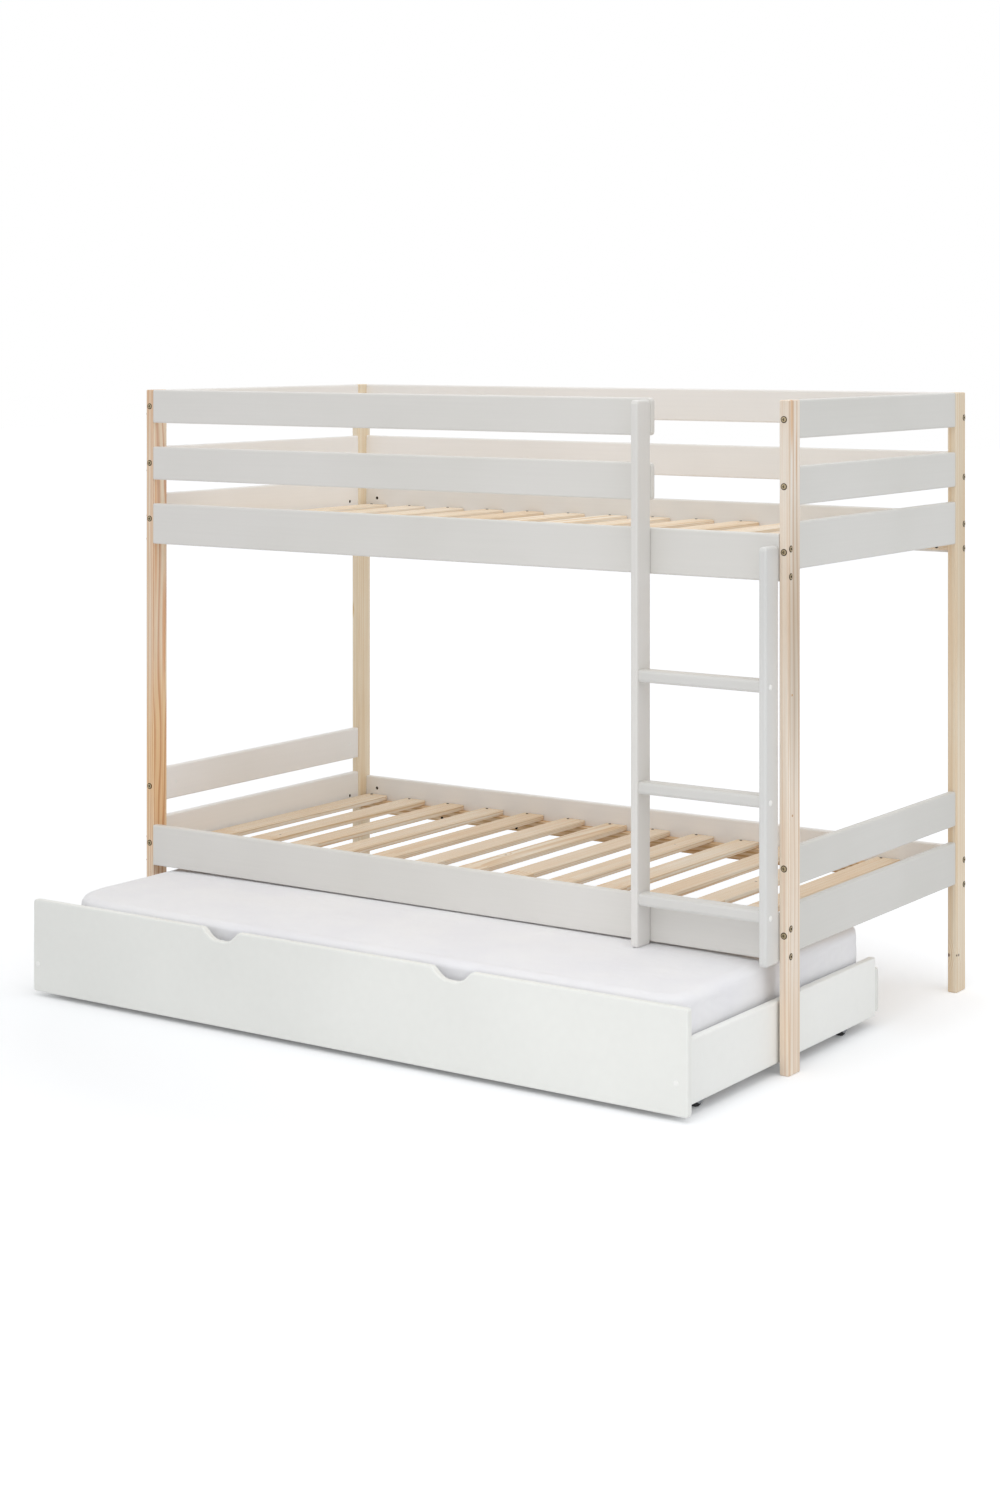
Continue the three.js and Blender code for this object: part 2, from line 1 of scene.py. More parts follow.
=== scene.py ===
import math

import bmesh
import bpy
from mathutils import Matrix, Vector


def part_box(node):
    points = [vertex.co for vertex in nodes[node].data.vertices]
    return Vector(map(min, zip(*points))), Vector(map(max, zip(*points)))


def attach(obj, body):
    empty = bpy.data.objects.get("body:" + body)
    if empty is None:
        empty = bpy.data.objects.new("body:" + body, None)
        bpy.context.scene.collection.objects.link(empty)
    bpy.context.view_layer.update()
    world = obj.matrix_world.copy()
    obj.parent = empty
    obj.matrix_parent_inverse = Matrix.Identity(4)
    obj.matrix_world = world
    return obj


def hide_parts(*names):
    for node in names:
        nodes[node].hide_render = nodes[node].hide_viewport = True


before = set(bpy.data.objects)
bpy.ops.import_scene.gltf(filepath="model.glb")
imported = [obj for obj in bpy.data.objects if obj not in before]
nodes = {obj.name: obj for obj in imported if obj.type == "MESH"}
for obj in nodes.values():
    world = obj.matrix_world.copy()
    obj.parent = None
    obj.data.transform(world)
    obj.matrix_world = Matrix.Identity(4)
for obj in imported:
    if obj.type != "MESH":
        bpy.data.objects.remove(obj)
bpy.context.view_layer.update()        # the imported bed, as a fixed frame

print("frame loaded,", len(nodes), "nodes")


# Places are written as on the workshop drawing: millimetres, from the bed's front left foot

drawing = {"originX": 990, "originY": 268}     # where the frame's origin lies on it


def place(x, y, z):
    return Vector(((x - drawing["originX"]) / 1000, (y - drawing["originY"]) / 1000, z / 1000))


def toLinear(hexColour):
    channels = [int(hexColour[i:i + 2], 16) / 255 for i in (1, 3, 5)]
    return [c / 12.92 if c <= 0.04045 else ((c + 0.055) / 1.055) ** 2.4 for c in channels] + [1]


# Feeds a node's sockets from other nodes, or from one of their outputs
def feed(tree, node, links):
    for key, source in links.items():
        output = source.outputs[0] if hasattr(source, "outputs") else source
        tree.links.new(output, node.inputs[key])


# Adds one node, with its settings (properties or sockets) and what feeds its sockets
def addNode(tree, kind, settings=None, links=None):
    node = tree.nodes.new(kind)
    for key, value in (settings or {}).items():
        if isinstance(key, str) and hasattr(node, key):
            setattr(node, key, value)
        else:
            node.inputs[key].default_value = value
    feed(tree, node, links or {})
    return node


def newMaterial(name, surface):
    material = bpy.data.materials.new(name)
    material.use_nodes = True
    tree = material.node_tree
    tree.nodes.clear()
    shader = addNode(tree, "ShaderNodeBsdfPrincipled", surface)
    addNode(tree, "ShaderNodeOutputMaterial", None, {"Surface": shader})
    return material, tree, shader


# Colour bands from dark to light along a value; a number stands for a grey
def bands(tree, value, stops, smooth=True):
    ramp = addNode(tree, "ShaderNodeValToRGB", None, {"Fac": value})
    ramp.color_ramp.interpolation = "EASE" if smooth else "LINEAR"
    while len(ramp.color_ramp.elements) < len(stops):
        ramp.color_ramp.elements.new(0.5)
    for element, (position, colour) in zip(ramp.color_ramp.elements, stops):
        element.position = position
        element.color = toLinear(colour) if isinstance(colour, str) else (colour, colour, colour, 1)
    return ramp


# Two colours mixed: the amount and the colours go into a Mix node's sockets 0, 6 and 7
def mixed(tree, kind, amount, first, second):
    node = addNode(tree, "ShaderNodeMix", {"data_type": "RGBA", "blend_type": kind})
    for socket, value in ((0, amount), (6, first), (7, second)):
        if isinstance(value, (int, float, list, tuple)):
            node.inputs[socket].default_value = value
        else:
            feed(tree, node, {socket: value})
    return node.outputs[2]


# Camera, as the photograph was taken: eye height 1.7 m, level, looking left of straight ahead

cameraSetup = {
    "at": (3.82353, -5.59890, 1.71598),
    "turn": 34.3303,         # degrees to the left
    "sensor": 36,
    "lens": 62.42,
    "shiftY": -0.2777,
}


def addCamera():
    data = bpy.data.cameras.new("camera")
    data.sensor_fit = "VERTICAL"
    data.sensor_height = cameraSetup["sensor"]
    data.lens = cameraSetup["lens"]
    data.shift_y = cameraSetup["shiftY"]
    camera = bpy.data.objects.new("camera", data)
    camera.location = cameraSetup["at"]
    camera.rotation_euler = (math.radians(90), 0, math.radians(cameraSetup["turn"]))
    bpy.context.scene.collection.objects.link(camera)
    bpy.context.scene.camera = camera


# Studio: white paper under the bed, a light tent all round, even soft light from above, a softbox
# right over the bunks, and three weak lamps with narrow grids: a low one on the ladder's foot, one
# through the lower bunk from its right end, and a high one on the guest bed's mattress

studio = {
    "tent": 0.655,
    "overhead": {"strength": 0.5, "spread": 60, "from": (0.3, -0.35, 1)},
    "lamps": {
        "softbox": {"at": (0.5, -0.1, 3.2), "size": 3.0, "power": 13, "aim": (0.5, 0.1, 0.5), "grid": 180},
        "lowLamp": {"at": (1.6, -3.4, 0.5), "size": 1.4, "power": 0.8, "aim": (0.85, -0.3, 0.3), "grid": 50},
        "endLamp": {"at": (3.9, 0.1, 0.9), "size": 1.4, "power": 0.65, "aim": (-0.9, 0.2, 0.4), "grid": 50},
        "highLamp": {"at": (0.6, -2.9, 3.2), "size": 1.4, "power": 0.9, "aim": (0.5, -0.4, 0.2), "grid": 50},
    },
    "paper": "#F6F7F9",
    "paperSize": 60,
    "paperMiddle": (0, -0.3, 0),
    "glowTint": "#FAFDFF",
    "nearGlow": 0.145,       # up to nearReach m from the paper's middle
    "nearReach": 0.95,
    "farGlow": 0.3,          # from farReach m outwards
    "farReach": 1.6,
}


def addLamps():
    sky = bpy.data.lights.new("overhead", "SUN")
    sky.energy = studio["overhead"]["strength"]
    sky.angle = math.radians(studio["overhead"]["spread"])
    above = bpy.data.objects.new("overhead", sky)
    above.rotation_euler = Vector(studio["overhead"]["from"]).to_track_quat("Z", "Y").to_euler()
    bpy.context.scene.collection.objects.link(above)
    for name, values in studio["lamps"].items():
        data = bpy.data.lights.new(name, "AREA")
        data.shape = "DISK"
        data.size = values["size"]
        data.energy = values["power"]
        data.spread = math.radians(values["grid"])
        lamp = bpy.data.objects.new(name, data)
        lamp.location = values["at"]
        way = Vector(values["aim"]) - Vector(values["at"])
        lamp.rotation_euler = way.to_track_quat("-Z", "Y").to_euler()
        lamp.visible_camera = False
        bpy.context.scene.collection.objects.link(lamp)


# The tent lights the bed softly, and is white to the camera and in gloss
def addTent():
    world = bpy.data.worlds.new("light tent")
    bpy.context.scene.world = world
    world.use_nodes = True
    tree = world.node_tree
    tree.nodes.clear()
    path = addNode(tree, "ShaderNodeLightPath")
    seen = addNode(tree, "ShaderNodeMath", {"operation": "MAXIMUM"},
                   {0: path.outputs["Is Camera Ray"], 1: path.outputs["Is Transmission Ray"]})
    seen = addNode(tree, "ShaderNodeMath", {"operation": "MAXIMUM"},
                   {0: seen, 1: path.outputs["Is Glossy Ray"]})
    soft = addNode(tree, "ShaderNodeBackground", {"Color": (1, 1, 1, 1), "Strength": studio["tent"]})
    white = addNode(tree, "ShaderNodeBackground", {"Color": (1, 1, 1, 1), "Strength": 1.0})
    mix = addNode(tree, "ShaderNodeMixShader", None, {0: seen, 1: soft, 2: white})
    addNode(tree, "ShaderNodeOutputWorld", None, {"Surface": mix})


# Matt white paper: it carries the bed's soft shadow, and runs out to white for the camera
def addPaper():
    material, tree, shader = newMaterial("seamless studio paper", {
        "Base Color": toLinear(studio["paper"]), "Roughness": 0.9, "Specular IOR Level": 0.1,
        "Emission Color": toLinear(studio["glowTint"])})
    path = addNode(tree, "ShaderNodeLightPath")
    coords = addNode(tree, "ShaderNodeTexCoord").outputs["Object"]
    away = addNode(tree, "ShaderNodeVectorMath", {"operation": "DISTANCE", 1: studio["paperMiddle"]},
                   {0: coords})
    rise = addNode(tree, "ShaderNodeMapRange", {
        "From Min": studio["nearReach"], "From Max": studio["farReach"],
        "To Min": studio["nearGlow"], "To Max": studio["farGlow"]}, {"Value": away.outputs["Value"]})
    glow = addNode(tree, "ShaderNodeMath", {"operation": "MULTIPLY"},
                   {0: rise, 1: path.outputs["Is Camera Ray"]})
    feed(tree, shader, {"Emission Strength": glow})
    bpy.ops.object.select_all(action="DESELECT")
    bpy.ops.mesh.primitive_plane_add(size=studio["paperSize"], location=(0, 0, 0))
    floor = bpy.context.object
    floor.name = "studio_floor"
    floor.data.materials.append(material)


bpy.context.scene.view_settings.view_transform = "Standard"
addCamera()
addTent()
addLamps()
addPaper()
print("camera and studio placed")


# Bare pine, planed and matt coated: pale earlywood with thin reddish latewood lines that run with
# the board, streaks of slightly darker wood, and a long fibre that breaks the gloss. Growth rings
# are 3 to 5 mm apart, as in quickly grown pine, and closer in the plugs.

pineLook = {
    "cutSpread": (0.09, 0.11, 3.0),    # m, over which the boards' cuts lie spread in the log
    "wander": (9, 9, 1.1),             # per m: rings swing over 0.11 m across and 0.9 m along
    "taper": 0.004,                    # how little the place along a board changes its rings
    "streakAcross": 120,               # per m: 8 mm
    "streakAlong": 0.9,
    "fibreAcross": 560,                # per m: 1.8 mm, coarser than real fibres so that it shows
    "fibreAlong": 9,
    "slowTone": 3.2,                   # per m: 0.3 m
    "roughness": 0.52,
    "gloss": (0.1, -0.08),             # between the fibres and on them
    "relief": 0.0005,                  # m, how high the fibre and latewood stand
    "reliefShare": 0.18,
    "ringRelief": 0.5,
}

# Knots, in shares of their size: rings bend round them out to their reach
knotLook = {"colour": "#63402A", "strength": 0.9, "core": 0.35, "edge": 0.75, "reach": 2.4, "push": 0.9,
            "along": 0.4}
flameAndShadeLook = {"core": 0.35, "edge": 1.1}


def pineMaterial(name, wood):
    grain = wood["grain"]
    material, tree, shader = newMaterial(name, {"Specular IOR Level": 0.35})
    coords = addNode(tree, "ShaderNodeTexCoord").outputs["Object"]
    # Each board falls in a cell of its own, which gives it its own cut of the log
    cellPlace = addNode(tree, "ShaderNodeVectorMath", {"operation": "ADD", 1: wood["cellStart"]},
                        {0: coords})
    cellShare = addNode(tree, "ShaderNodeVectorMath", {"operation": "DIVIDE", 1: wood["cell"]},
                        {0: cellPlace})
    cellNumber = addNode(tree, "ShaderNodeVectorMath", {"operation": "FLOOR"}, {0: cellShare})
    chance = addNode(tree, "ShaderNodeTexWhiteNoise", {"noise_dimensions": "3D"}, {"Vector": cellNumber})
    turn = {"Z": (0, 0, 0), "Y": (math.radians(90), 0, 0), "X": (0, math.radians(-90), 0)}[grain]
    turned = addNode(tree, "ShaderNodeMapping", {"Rotation": turn}, {"Vector": coords})
    log = addNode(tree, "ShaderNodeVectorMath", {"operation": "MULTIPLY", 1: pineLook["cutSpread"]},
                  {0: chance.outputs["Color"]})
    cut = addNode(tree, "ShaderNodeVectorMath", {"operation": "ADD"}, {0: turned, 1: log})

    # Rings round a heart that lies well outside the board and wanders along it
    wander = addNode(tree, "ShaderNodeMapping", {"Scale": pineLook["wander"]}, {"Vector": cut})
    drift = addNode(tree, "ShaderNodeTexNoise", {"Scale": 1.0, "Detail": 2.0}, {"Vector": wander})
    flat = addNode(tree, "ShaderNodeVectorMath", {"operation": "MULTIPLY", 1: (1, 1, pineLook["taper"])},
                   {0: cut})
    radius = addNode(tree, "ShaderNodeVectorMath", {"operation": "LENGTH"}, {0: flat})
    push = addNode(tree, "ShaderNodeMath", {"operation": "MULTIPLY", 1: wood["drift"]}, {0: drift})
    depth = addNode(tree, "ShaderNodeMath", {"operation": "ADD"}, {0: radius.outputs["Value"], 1: push})
    along = knotLook["along"]
    squeeze = {"Z": (1, 1, along), "Y": (1, along, 1), "X": (along, 1, 1)}[grain]
    hearts = []
    for x, y, z, millimetres in wood.get("knots", ()):
        size = millimetres / 1000
        away = addNode(tree, "ShaderNodeVectorMath", {"operation": "SUBTRACT", 1: place(x, y, z)},
                       {0: coords})
        near = addNode(tree, "ShaderNodeVectorMath", {"operation": "MULTIPLY", 1: squeeze}, {0: away})
        reach = addNode(tree, "ShaderNodeVectorMath", {"operation": "LENGTH"}, {0: near})
        bulge = addNode(tree, "ShaderNodeMapRange", {
            "From Min": 0.0, "From Max": size * knotLook["reach"],
            "To Min": size * knotLook["push"], "To Max": 0.0}, {"Value": reach.outputs["Value"]})
        depth = addNode(tree, "ShaderNodeMath", {"operation": "ADD"}, {0: depth, 1: bulge})
        core = addNode(tree, "ShaderNodeVectorMath", {"operation": "LENGTH"}, {0: away})
        hearts.append(addNode(tree, "ShaderNodeMapRange", {
            "From Min": size * knotLook["core"], "From Max": size * knotLook["edge"],
            "To Min": knotLook["strength"], "To Max": 0.0}, {"Value": core.outputs["Value"]}))
    turns = addNode(tree, "ShaderNodeMath", {"operation": "DIVIDE", 1: wood["ring"] / 1000}, {0: depth})
    year = addNode(tree, "ShaderNodeMath", {"operation": "FRACT"}, {0: turns})
    rings = bands(tree, year, [(0.0, wood["early"]), (0.45, wood["early"]), (0.84, wood["late"]),
                               (0.92, wood["late"]), (1.0, wood["early"])])

    # Streaks, long fibres and the slow change of tone along a board
    streakScale = (pineLook["streakAcross"], pineLook["streakAcross"], pineLook["streakAlong"])
    lane = addNode(tree, "ShaderNodeMapping", {"Scale": streakScale}, {"Vector": cut})
    streak = addNode(tree, "ShaderNodeTexNoise", {"Scale": 1.0, "Detail": 2.0}, {"Vector": lane})
    streakTone = bands(tree, streak, [(0.32, wood["streak"]), (0.6, "#FFFFFF")], False)
    fibreScale = (pineLook["fibreAcross"], pineLook["fibreAcross"], pineLook["fibreAlong"])
    thread = addNode(tree, "ShaderNodeMapping", {"Scale": fibreScale}, {"Vector": cut})
    fibre = addNode(tree, "ShaderNodeTexNoise", {"Scale": 1.0, "Detail": 3.0, "Roughness": 0.6},
                    {"Vector": thread})
    fibreTone = bands(tree, fibre, [(0.3, 0.94), (0.7, 1.0)], False)
    slow = addNode(tree, "ShaderNodeTexNoise", {"Scale": pineLook["slowTone"], "Detail": 1.0},
                   {"Vector": cut})
    slowTone = bands(tree, slow, [(0.3, "#FBF4EC"), (0.7, "#FFFFFF")], False)
    boardTone = bands(tree, chance.outputs["Value"], [(0.0, wood["darkest"]), (1.0, "#FFFFFF")], False)
    colour = mixed(tree, "MULTIPLY", 1.0, rings, fibreTone)
    for tone in (streakTone, slowTone, boardTone):
        colour = mixed(tree, "MULTIPLY", 1.0, colour, tone)
    # Tongues of darker wood, and the wide patches of painted shade on the right posts' outer sides
    for x, y, z, halfWidth, halfLength, tone in wood.get("flamesAndShade", ()):
        away = addNode(tree, "ShaderNodeVectorMath", {"operation": "SUBTRACT", 1: place(x, y, z)},
                       {0: coords})
        size = (halfWidth / 1000, halfWidth / 1000, halfLength / 1000)
        near = addNode(tree, "ShaderNodeVectorMath", {"operation": "DIVIDE", 1: size}, {0: away})
        reach = addNode(tree, "ShaderNodeVectorMath", {"operation": "LENGTH"}, {0: near})
        flameAndShade = addNode(tree, "ShaderNodeMapRange", {
            "interpolation_type": "SMOOTHSTEP", "From Min": flameAndShadeLook["core"],
            "From Max": flameAndShadeLook["edge"], "To Min": 1.0, "To Max": 0.0},
            {"Value": reach.outputs["Value"]})
        colour = mixed(tree, "MULTIPLY", flameAndShade, colour, toLinear(tone))
    for heart in hearts:
        colour = mixed(tree, "MIX", heart.outputs[0], colour, toLinear(knotLook["colour"]))
    gloss = addNode(tree, "ShaderNodeMapRange", {
        "From Min": 0.0, "From Max": 1.0, "To Min": pineLook["roughness"] + pineLook["gloss"][0],
        "To Max": pineLook["roughness"] + pineLook["gloss"][1]}, {"Value": fibre})
    relief = addNode(tree, "ShaderNodeMath", {"operation": "MULTIPLY_ADD", 1: pineLook["ringRelief"]},
                     {0: year, 2: fibre})
    bump = addNode(tree, "ShaderNodeBump", {"Strength": pineLook["reliefShare"],
                   "Distance": pineLook["relief"]}, {"Height": relief})
    feed(tree, shader, {"Base Color": colour, "Roughness": gloss, "Normal": bump})
    return material


# Four posts from four trees: tone, ring width in mm and how far the rings drift in m. Knots are
# x, y, z and size in mm; flamesAndShade are x, y, z, half width, half length and tone: tongues of
# darker wood, except the two wide ones at x = 2020, which are painted shade on the outer sides of the
# right posts. Cells are in m, and the first starts cellStart before the frame's origin.
posts = {
    "post_front_left": {"early": "#FBEEDA", "late": "#E2BCA0", "streak": "#F4E2D2", "ring": 5.2,
                        "drift": 0.03,
                        "flamesAndShade": [(26, 28, 560, 60, 330, "#FFF0D6"), (26, 44, 900, 9, 190, "#F2D3BC"),
                                   (26, 12, 1200, 8, 260, "#F6DCC8")]},
    "post_front_right": {"early": "#FBF3E8", "late": "#EAD8C3", "streak": "#F5E9DF", "ring": 3.4,
                         "drift": 0.007,
                         "flamesAndShade": [(1980, 14, 1530, 8, 110, "#F3D8BC"),
                                    (1980, 36, 1430, 4, 90, "#F2D9C2"),
                                    # Painted shade: it darkens the post's outer side
                                    (2020, 30, 1000, 56, 560, "#B3A896")]},
    "post_back_left": {"early": "#FBF3E0", "late": "#EEDCC2", "streak": "#F4EADA", "ring": 3.2,
                       "drift": 0.009,
                       "flamesAndShade": [(4, 923, 1075, 8, 40, "#DCCBA4"), (2, 923, 880, 7, 30, "#E4D2AE")]},
    "post_back_right": {"early": "#F9F1E0", "late": "#E9D5B8", "streak": "#F5EBDE", "ring": 3.0,
                        "drift": 0.006,
                        "knots": [(1957, 923, 97, 8), (1980, 926, 98, 5), (1980, 937, 97, 6)],
                        # Painted shade: it darkens the post's outer side
                        "flamesAndShade": [(2020, 951, 1100, 56, 700, "#E6E2D8")]},
}
slatWood = {"grain": "Y", "cell": (0.141385, 10, 0.5), "cellStart": (0.9893, 0, 0), "early": "#FCF5E9",
            "late": "#EBD5B6", "streak": "#F9F0E3", "darkest": "#F7EFE5", "ring": 3.6, "drift": 0.012,
            "knots": [(228, 300, 321, 6), (905, 420, 321, 6), (1205, 800, 321, 5), (1620, 500, 321, 6)]}
ledgerWood = {"grain": "X", "cell": (10, 0.3, 0.5), "cellStart": (0, 0.1, 0), "early": "#F2E1C7",
              "late": "#D8B78C", "streak": "#EFDCC4", "darkest": "#F0E4D4", "ring": 3.4, "drift": 0.012}
plugWood = {"grain": "X", "cell": (1, 1, 0.1), "cellStart": (0, 0, 0), "early": "#DDBB92",
            "late": "#BE9468", "streak": "#F0E0CC", "darkest": "#F4E8DA", "ring": 1.2, "drift": 0.002}


# White satin lacquer, sprayed on pine: smooth and even, with a faint lie of the grain under it and
# the slight orange peel of a spray gun. Under the lacquer on fibreboard there is no grain to see.

paintLook = {
    "colour": "#E7E5E1",
    "shade": "#E2E0DB",
    "cloud": 2.1,            # per m: 0.5 m
    "grainAcross": 160,      # per m: 6 mm
    "grainAlong": 3,
    "noGrain": 45,           # per m: 22 mm
    "roughness": 0.36,
    "gloss": (-0.04, 0.05),
    "peel": 210,             # per m: 5 mm, coarser than real orange peel so that it shows
    "relief": 0.0004,
    "reliefShare": 0.035,
    "peelRelief": 0.35,
}


def paintMaterial(name, grain, tones=(paintLook["colour"], paintLook["shade"])):
    material, tree, shader = newMaterial(name, {"Specular IOR Level": 0.45})
    coords = addNode(tree, "ShaderNodeTexCoord").outputs["Object"]
    across, along = paintLook["grainAcross"], paintLook["grainAlong"]
    stretch = {"X": (along, across, across), "Y": (across, along, across), "Z": (across, across, along),
               "none": (paintLook["noGrain"],) * 3}[grain]
    lane = addNode(tree, "ShaderNodeMapping", {"Scale": stretch}, {"Vector": coords})
    lie = addNode(tree, "ShaderNodeTexNoise", {"Scale": 1.0, "Detail": 3.0}, {"Vector": lane})
    cloud = addNode(tree, "ShaderNodeTexNoise", {"Scale": paintLook["cloud"], "Detail": 2.0},
                    {"Vector": coords})
    tone = bands(tree, cloud, [(0.35, tones[1]), (0.65, tones[0])], False)
    faint = bands(tree, lie, [(0.3, 0.985), (0.7, 1.0)], False)
    colour = mixed(tree, "MULTIPLY", 1.0, tone, faint)
    peel = addNode(tree, "ShaderNodeTexNoise", {"Scale": paintLook["peel"], "Detail": 1.0},
                   {"Vector": coords})
    gloss = addNode(tree, "ShaderNodeMapRange", {
        "From Min": 0.3, "From Max": 0.7, "To Min": paintLook["roughness"] + paintLook["gloss"][0],
        "To Max": paintLook["roughness"] + paintLook["gloss"][1]}, {"Value": peel})
    relief = addNode(tree, "ShaderNodeMath", {"operation": "MULTIPLY_ADD", 1: paintLook["peelRelief"]},
                     {0: peel, 2: lie})
    bump = addNode(tree, "ShaderNodeBump", {"Strength": paintLook["reliefShare"],
                   "Distance": paintLook["relief"]}, {"Height": relief})
    feed(tree, shader, {"Base Color": colour, "Roughness": gloss, "Normal": bump})
    return material


# Percale cotton: a close plain weave with a soft sheen, and soft folds that hang straight down the
# sides. Threads are 0.25 mm apart, drawn at 1.6 mm so that the weave still breaks the light.

sheetLook = {
    "colour": "#FAFAFC",
    "shade": "#F5F5F9",
    "cloud": 5.0,                # per m: 0.2 m
    "thread": 0.0016,
    "threadRelief": 0.3,
    "weaveRelief": 0.002,
    "weaveShare": 0.25,
    "folds": (16, 16, 1.5),      # per m: 60 mm apart
    "foldRelief": 0.008,
    "foldShare": 0.4,
}


def sheetMaterial():
    material, tree, shader = newMaterial("percale cotton sheet", {
        "Roughness": 0.88, "Specular IOR Level": 0.2, "Sheen Weight": 0.25, "Sheen Roughness": 0.5})
    coords = addNode(tree, "ShaderNodeTexCoord").outputs["Object"]
    bandScale = 2 * math.pi / sheetLook["thread"] / 20     # a Wave node makes 20 / 2 pi bands per unit
    threads = [addNode(tree, "ShaderNodeTexWave", {
        "wave_type": "BANDS", "bands_direction": axis, "Scale": bandScale, "Distortion": 0.6,
        "Detail": 1.0, "Detail Scale": 4.0}, {"Vector": coords}).outputs["Fac"] for axis in ("X", "Y")]
    weave = addNode(tree, "ShaderNodeMath", {"operation": "MULTIPLY"}, {0: threads[0], 1: threads[1]})
    cloud = addNode(tree, "ShaderNodeTexNoise", {"Scale": sheetLook["cloud"], "Detail": 3.0},
                    {"Vector": coords})
    tone = bands(tree, cloud, [(0.35, sheetLook["shade"]), (0.65, sheetLook["colour"])], False)
    faint = bands(tree, weave, [(0.0, 0.97), (1.0, 1.0)], False)
    colour = mixed(tree, "MULTIPLY", 1.0, tone, faint)
    relief = addNode(tree, "ShaderNodeMath", {
        "operation": "MULTIPLY_ADD", 1: sheetLook["threadRelief"]}, {0: weave, 2: cloud})
    hang = addNode(tree, "ShaderNodeMapping", {"Scale": sheetLook["folds"]}, {"Vector": coords})
    fold = addNode(tree, "ShaderNodeTexNoise", {"Scale": 1.0, "Detail": 2.0, "Distortion": 0.6},
                   {"Vector": hang})
    folds = addNode(tree, "ShaderNodeBump", {"Strength": sheetLook["foldShare"],
                    "Distance": sheetLook["foldRelief"]}, {"Height": fold})
    bump = addNode(tree, "ShaderNodeBump", {"Strength": sheetLook["weaveShare"],
                   "Distance": sheetLook["weaveRelief"]}, {"Height": relief, "Normal": folds})
    feed(tree, shader, {"Base Color": colour, "Normal": bump})
    return material


# Metal and moulded fittings: a fine speckle of tone and gloss, from the plating or from the mould.
# Real speckle is far under a millimetre, and is drawn 1 to 4 mm wide so that it shows.

metal = {"shader": {"Metallic": 1.0}, "detail": 4.0, "gloss": (-0.07, 0.09), "relief": 0.0002,
         "reliefShare": 0.1}
moulded = {"shader": {"Specular IOR Level": 0.5}, "detail": 3.0, "gloss": (-0.05, 0.06), "relief": 0.0003,
           "reliefShare": 0.12}


def fittingMaterial(name, surface, colour, dark, roughness, specksPerMetre):
    material, tree, shader = newMaterial(name, surface["shader"])
    coords = addNode(tree, "ShaderNodeTexCoord").outputs["Object"]
    speck = addNode(tree, "ShaderNodeTexNoise", {"Scale": specksPerMetre, "Detail": surface["detail"]},
                    {"Vector": coords})
    tone = bands(tree, speck, [(0.35, dark), (0.65, colour)], False)
    gloss = addNode(tree, "ShaderNodeMapRange", {
        "From Min": 0.3, "From Max": 0.7, "To Min": roughness + surface["gloss"][0],
        "To Max": roughness + surface["gloss"][1]}, {"Value": speck})
    bump = addNode(tree, "ShaderNodeBump", {"Strength": surface["reliefShare"],
                   "Distance": surface["relief"]}, {"Height": speck})
    feed(tree, shader, {"Base Color": tone, "Roughness": gloss, "Normal": bump})
    return material


# Each post has its pine, and its own cell, so that no two show the same rings
postFinish = {}
for name, wood in posts.items():
    values = {"grain": "Z", "cell": (10, 10, 10), "cellStart": (5, 5, 5 + 10 * len(postFinish)),
              "darkest": "#FFFFFF", **wood}
    postFinish[name] = pineMaterial("planed pine, " + name.replace("_", " "), values)
pineSlats = pineMaterial("planed pine slats", slatWood)
pineLedgers = pineMaterial("planed pine ledgers", ledgerWood)
pinePlugs = pineMaterial("pine plugs, end grain", plugWood)

# The same lacquer, lighter or darker by group of boards as the light falls on each: lit and shaded
# copies, with painted light on the back boards, the left end boards and the long stile, and painted
# shade on the rungs, the right end boards and the short stile
paintSides = paintMaterial("white satin lacquer, side boards", "X")
lacquerBackPaintedLight = paintMaterial("white satin lacquer, back boards, with painted light", "X", ("#F8F6F4", "#F3F1EE"))
lacquerUpperBackPaintedLight = paintMaterial("white satin lacquer, upper back board, with painted light", "X", ("#EDEBE8", "#E8E6E2"))
lacquerLeftEndPaintedLight = paintMaterial("white satin lacquer, left end boards, with painted light", "Y", ("#F8F6F4", "#F3F1EE"))
lacquerRungsPaintedShade = paintMaterial("white satin lacquer, rungs, with painted shade", "X", ("#DEDDDA", "#D9D8D4"))
lacquerRightEndPaintedShade = paintMaterial("white satin lacquer, right end boards, with painted shade", "Y", ("#E1E0DC", "#DCDBD6"))
lacquerRightLowPaintedShade = paintMaterial("white satin lacquer, lower right end boards", "Y", ("#DBDAD6", "#D6D5D0"))
lacquerLongStilePaintedLight = paintMaterial("white satin lacquer, long ladder stile, with painted light", "Z", ("#EAE8E5", "#E5E3DF"))
lacquerShortStilePaintedShade = paintMaterial("white satin lacquer, short ladder stile, with painted shade", "Z", ("#E2E2E0", "#DDDDDB"))
panelFront = paintMaterial("white lacquered fibreboard, guest bed's long panels", "none",
                           ("#F5F6F2", "#F0F1ED"))
# The guest bed's back and sides are a shaded and a lit copy of its panels' lacquer: painted shade on the
# back, painted light on the sides
panelBackPaintedShade = paintMaterial("white lacquered fibreboard, guest bed's back", "none", ("#EDEEEA", "#E8E9E5"))
panelSidesPaintedLight = paintMaterial("white lacquered fibreboard, guest bed's sides", "none", ("#F9FAF7", "#F6F7F4"))
cottonSheet = sheetMaterial()

# Nickel plate on turned steel: a warm ring, bright enough to show round each socket
boltSteel = fittingMaterial("nickel plated bolt steel", metal, "#CDBD9E", "#B09D7C", 0.32, 900)
# Dark brown steel that hardly shines, as painted shade: sockets, flanges and nuts show as the dark
# rounds of their recesses and holes
boltShade = fittingMaterial("dark bolt steel, painted shade", metal, "#40301B", "#2E2213", 0.55, 900)
# Zinc plate on pressed steel: mid grey, half dull, with a cloudy spangle
zincSteel = fittingMaterial("zinc plated pressed steel", metal, "#A7A9AC", "#8E9195", 0.42, 260)
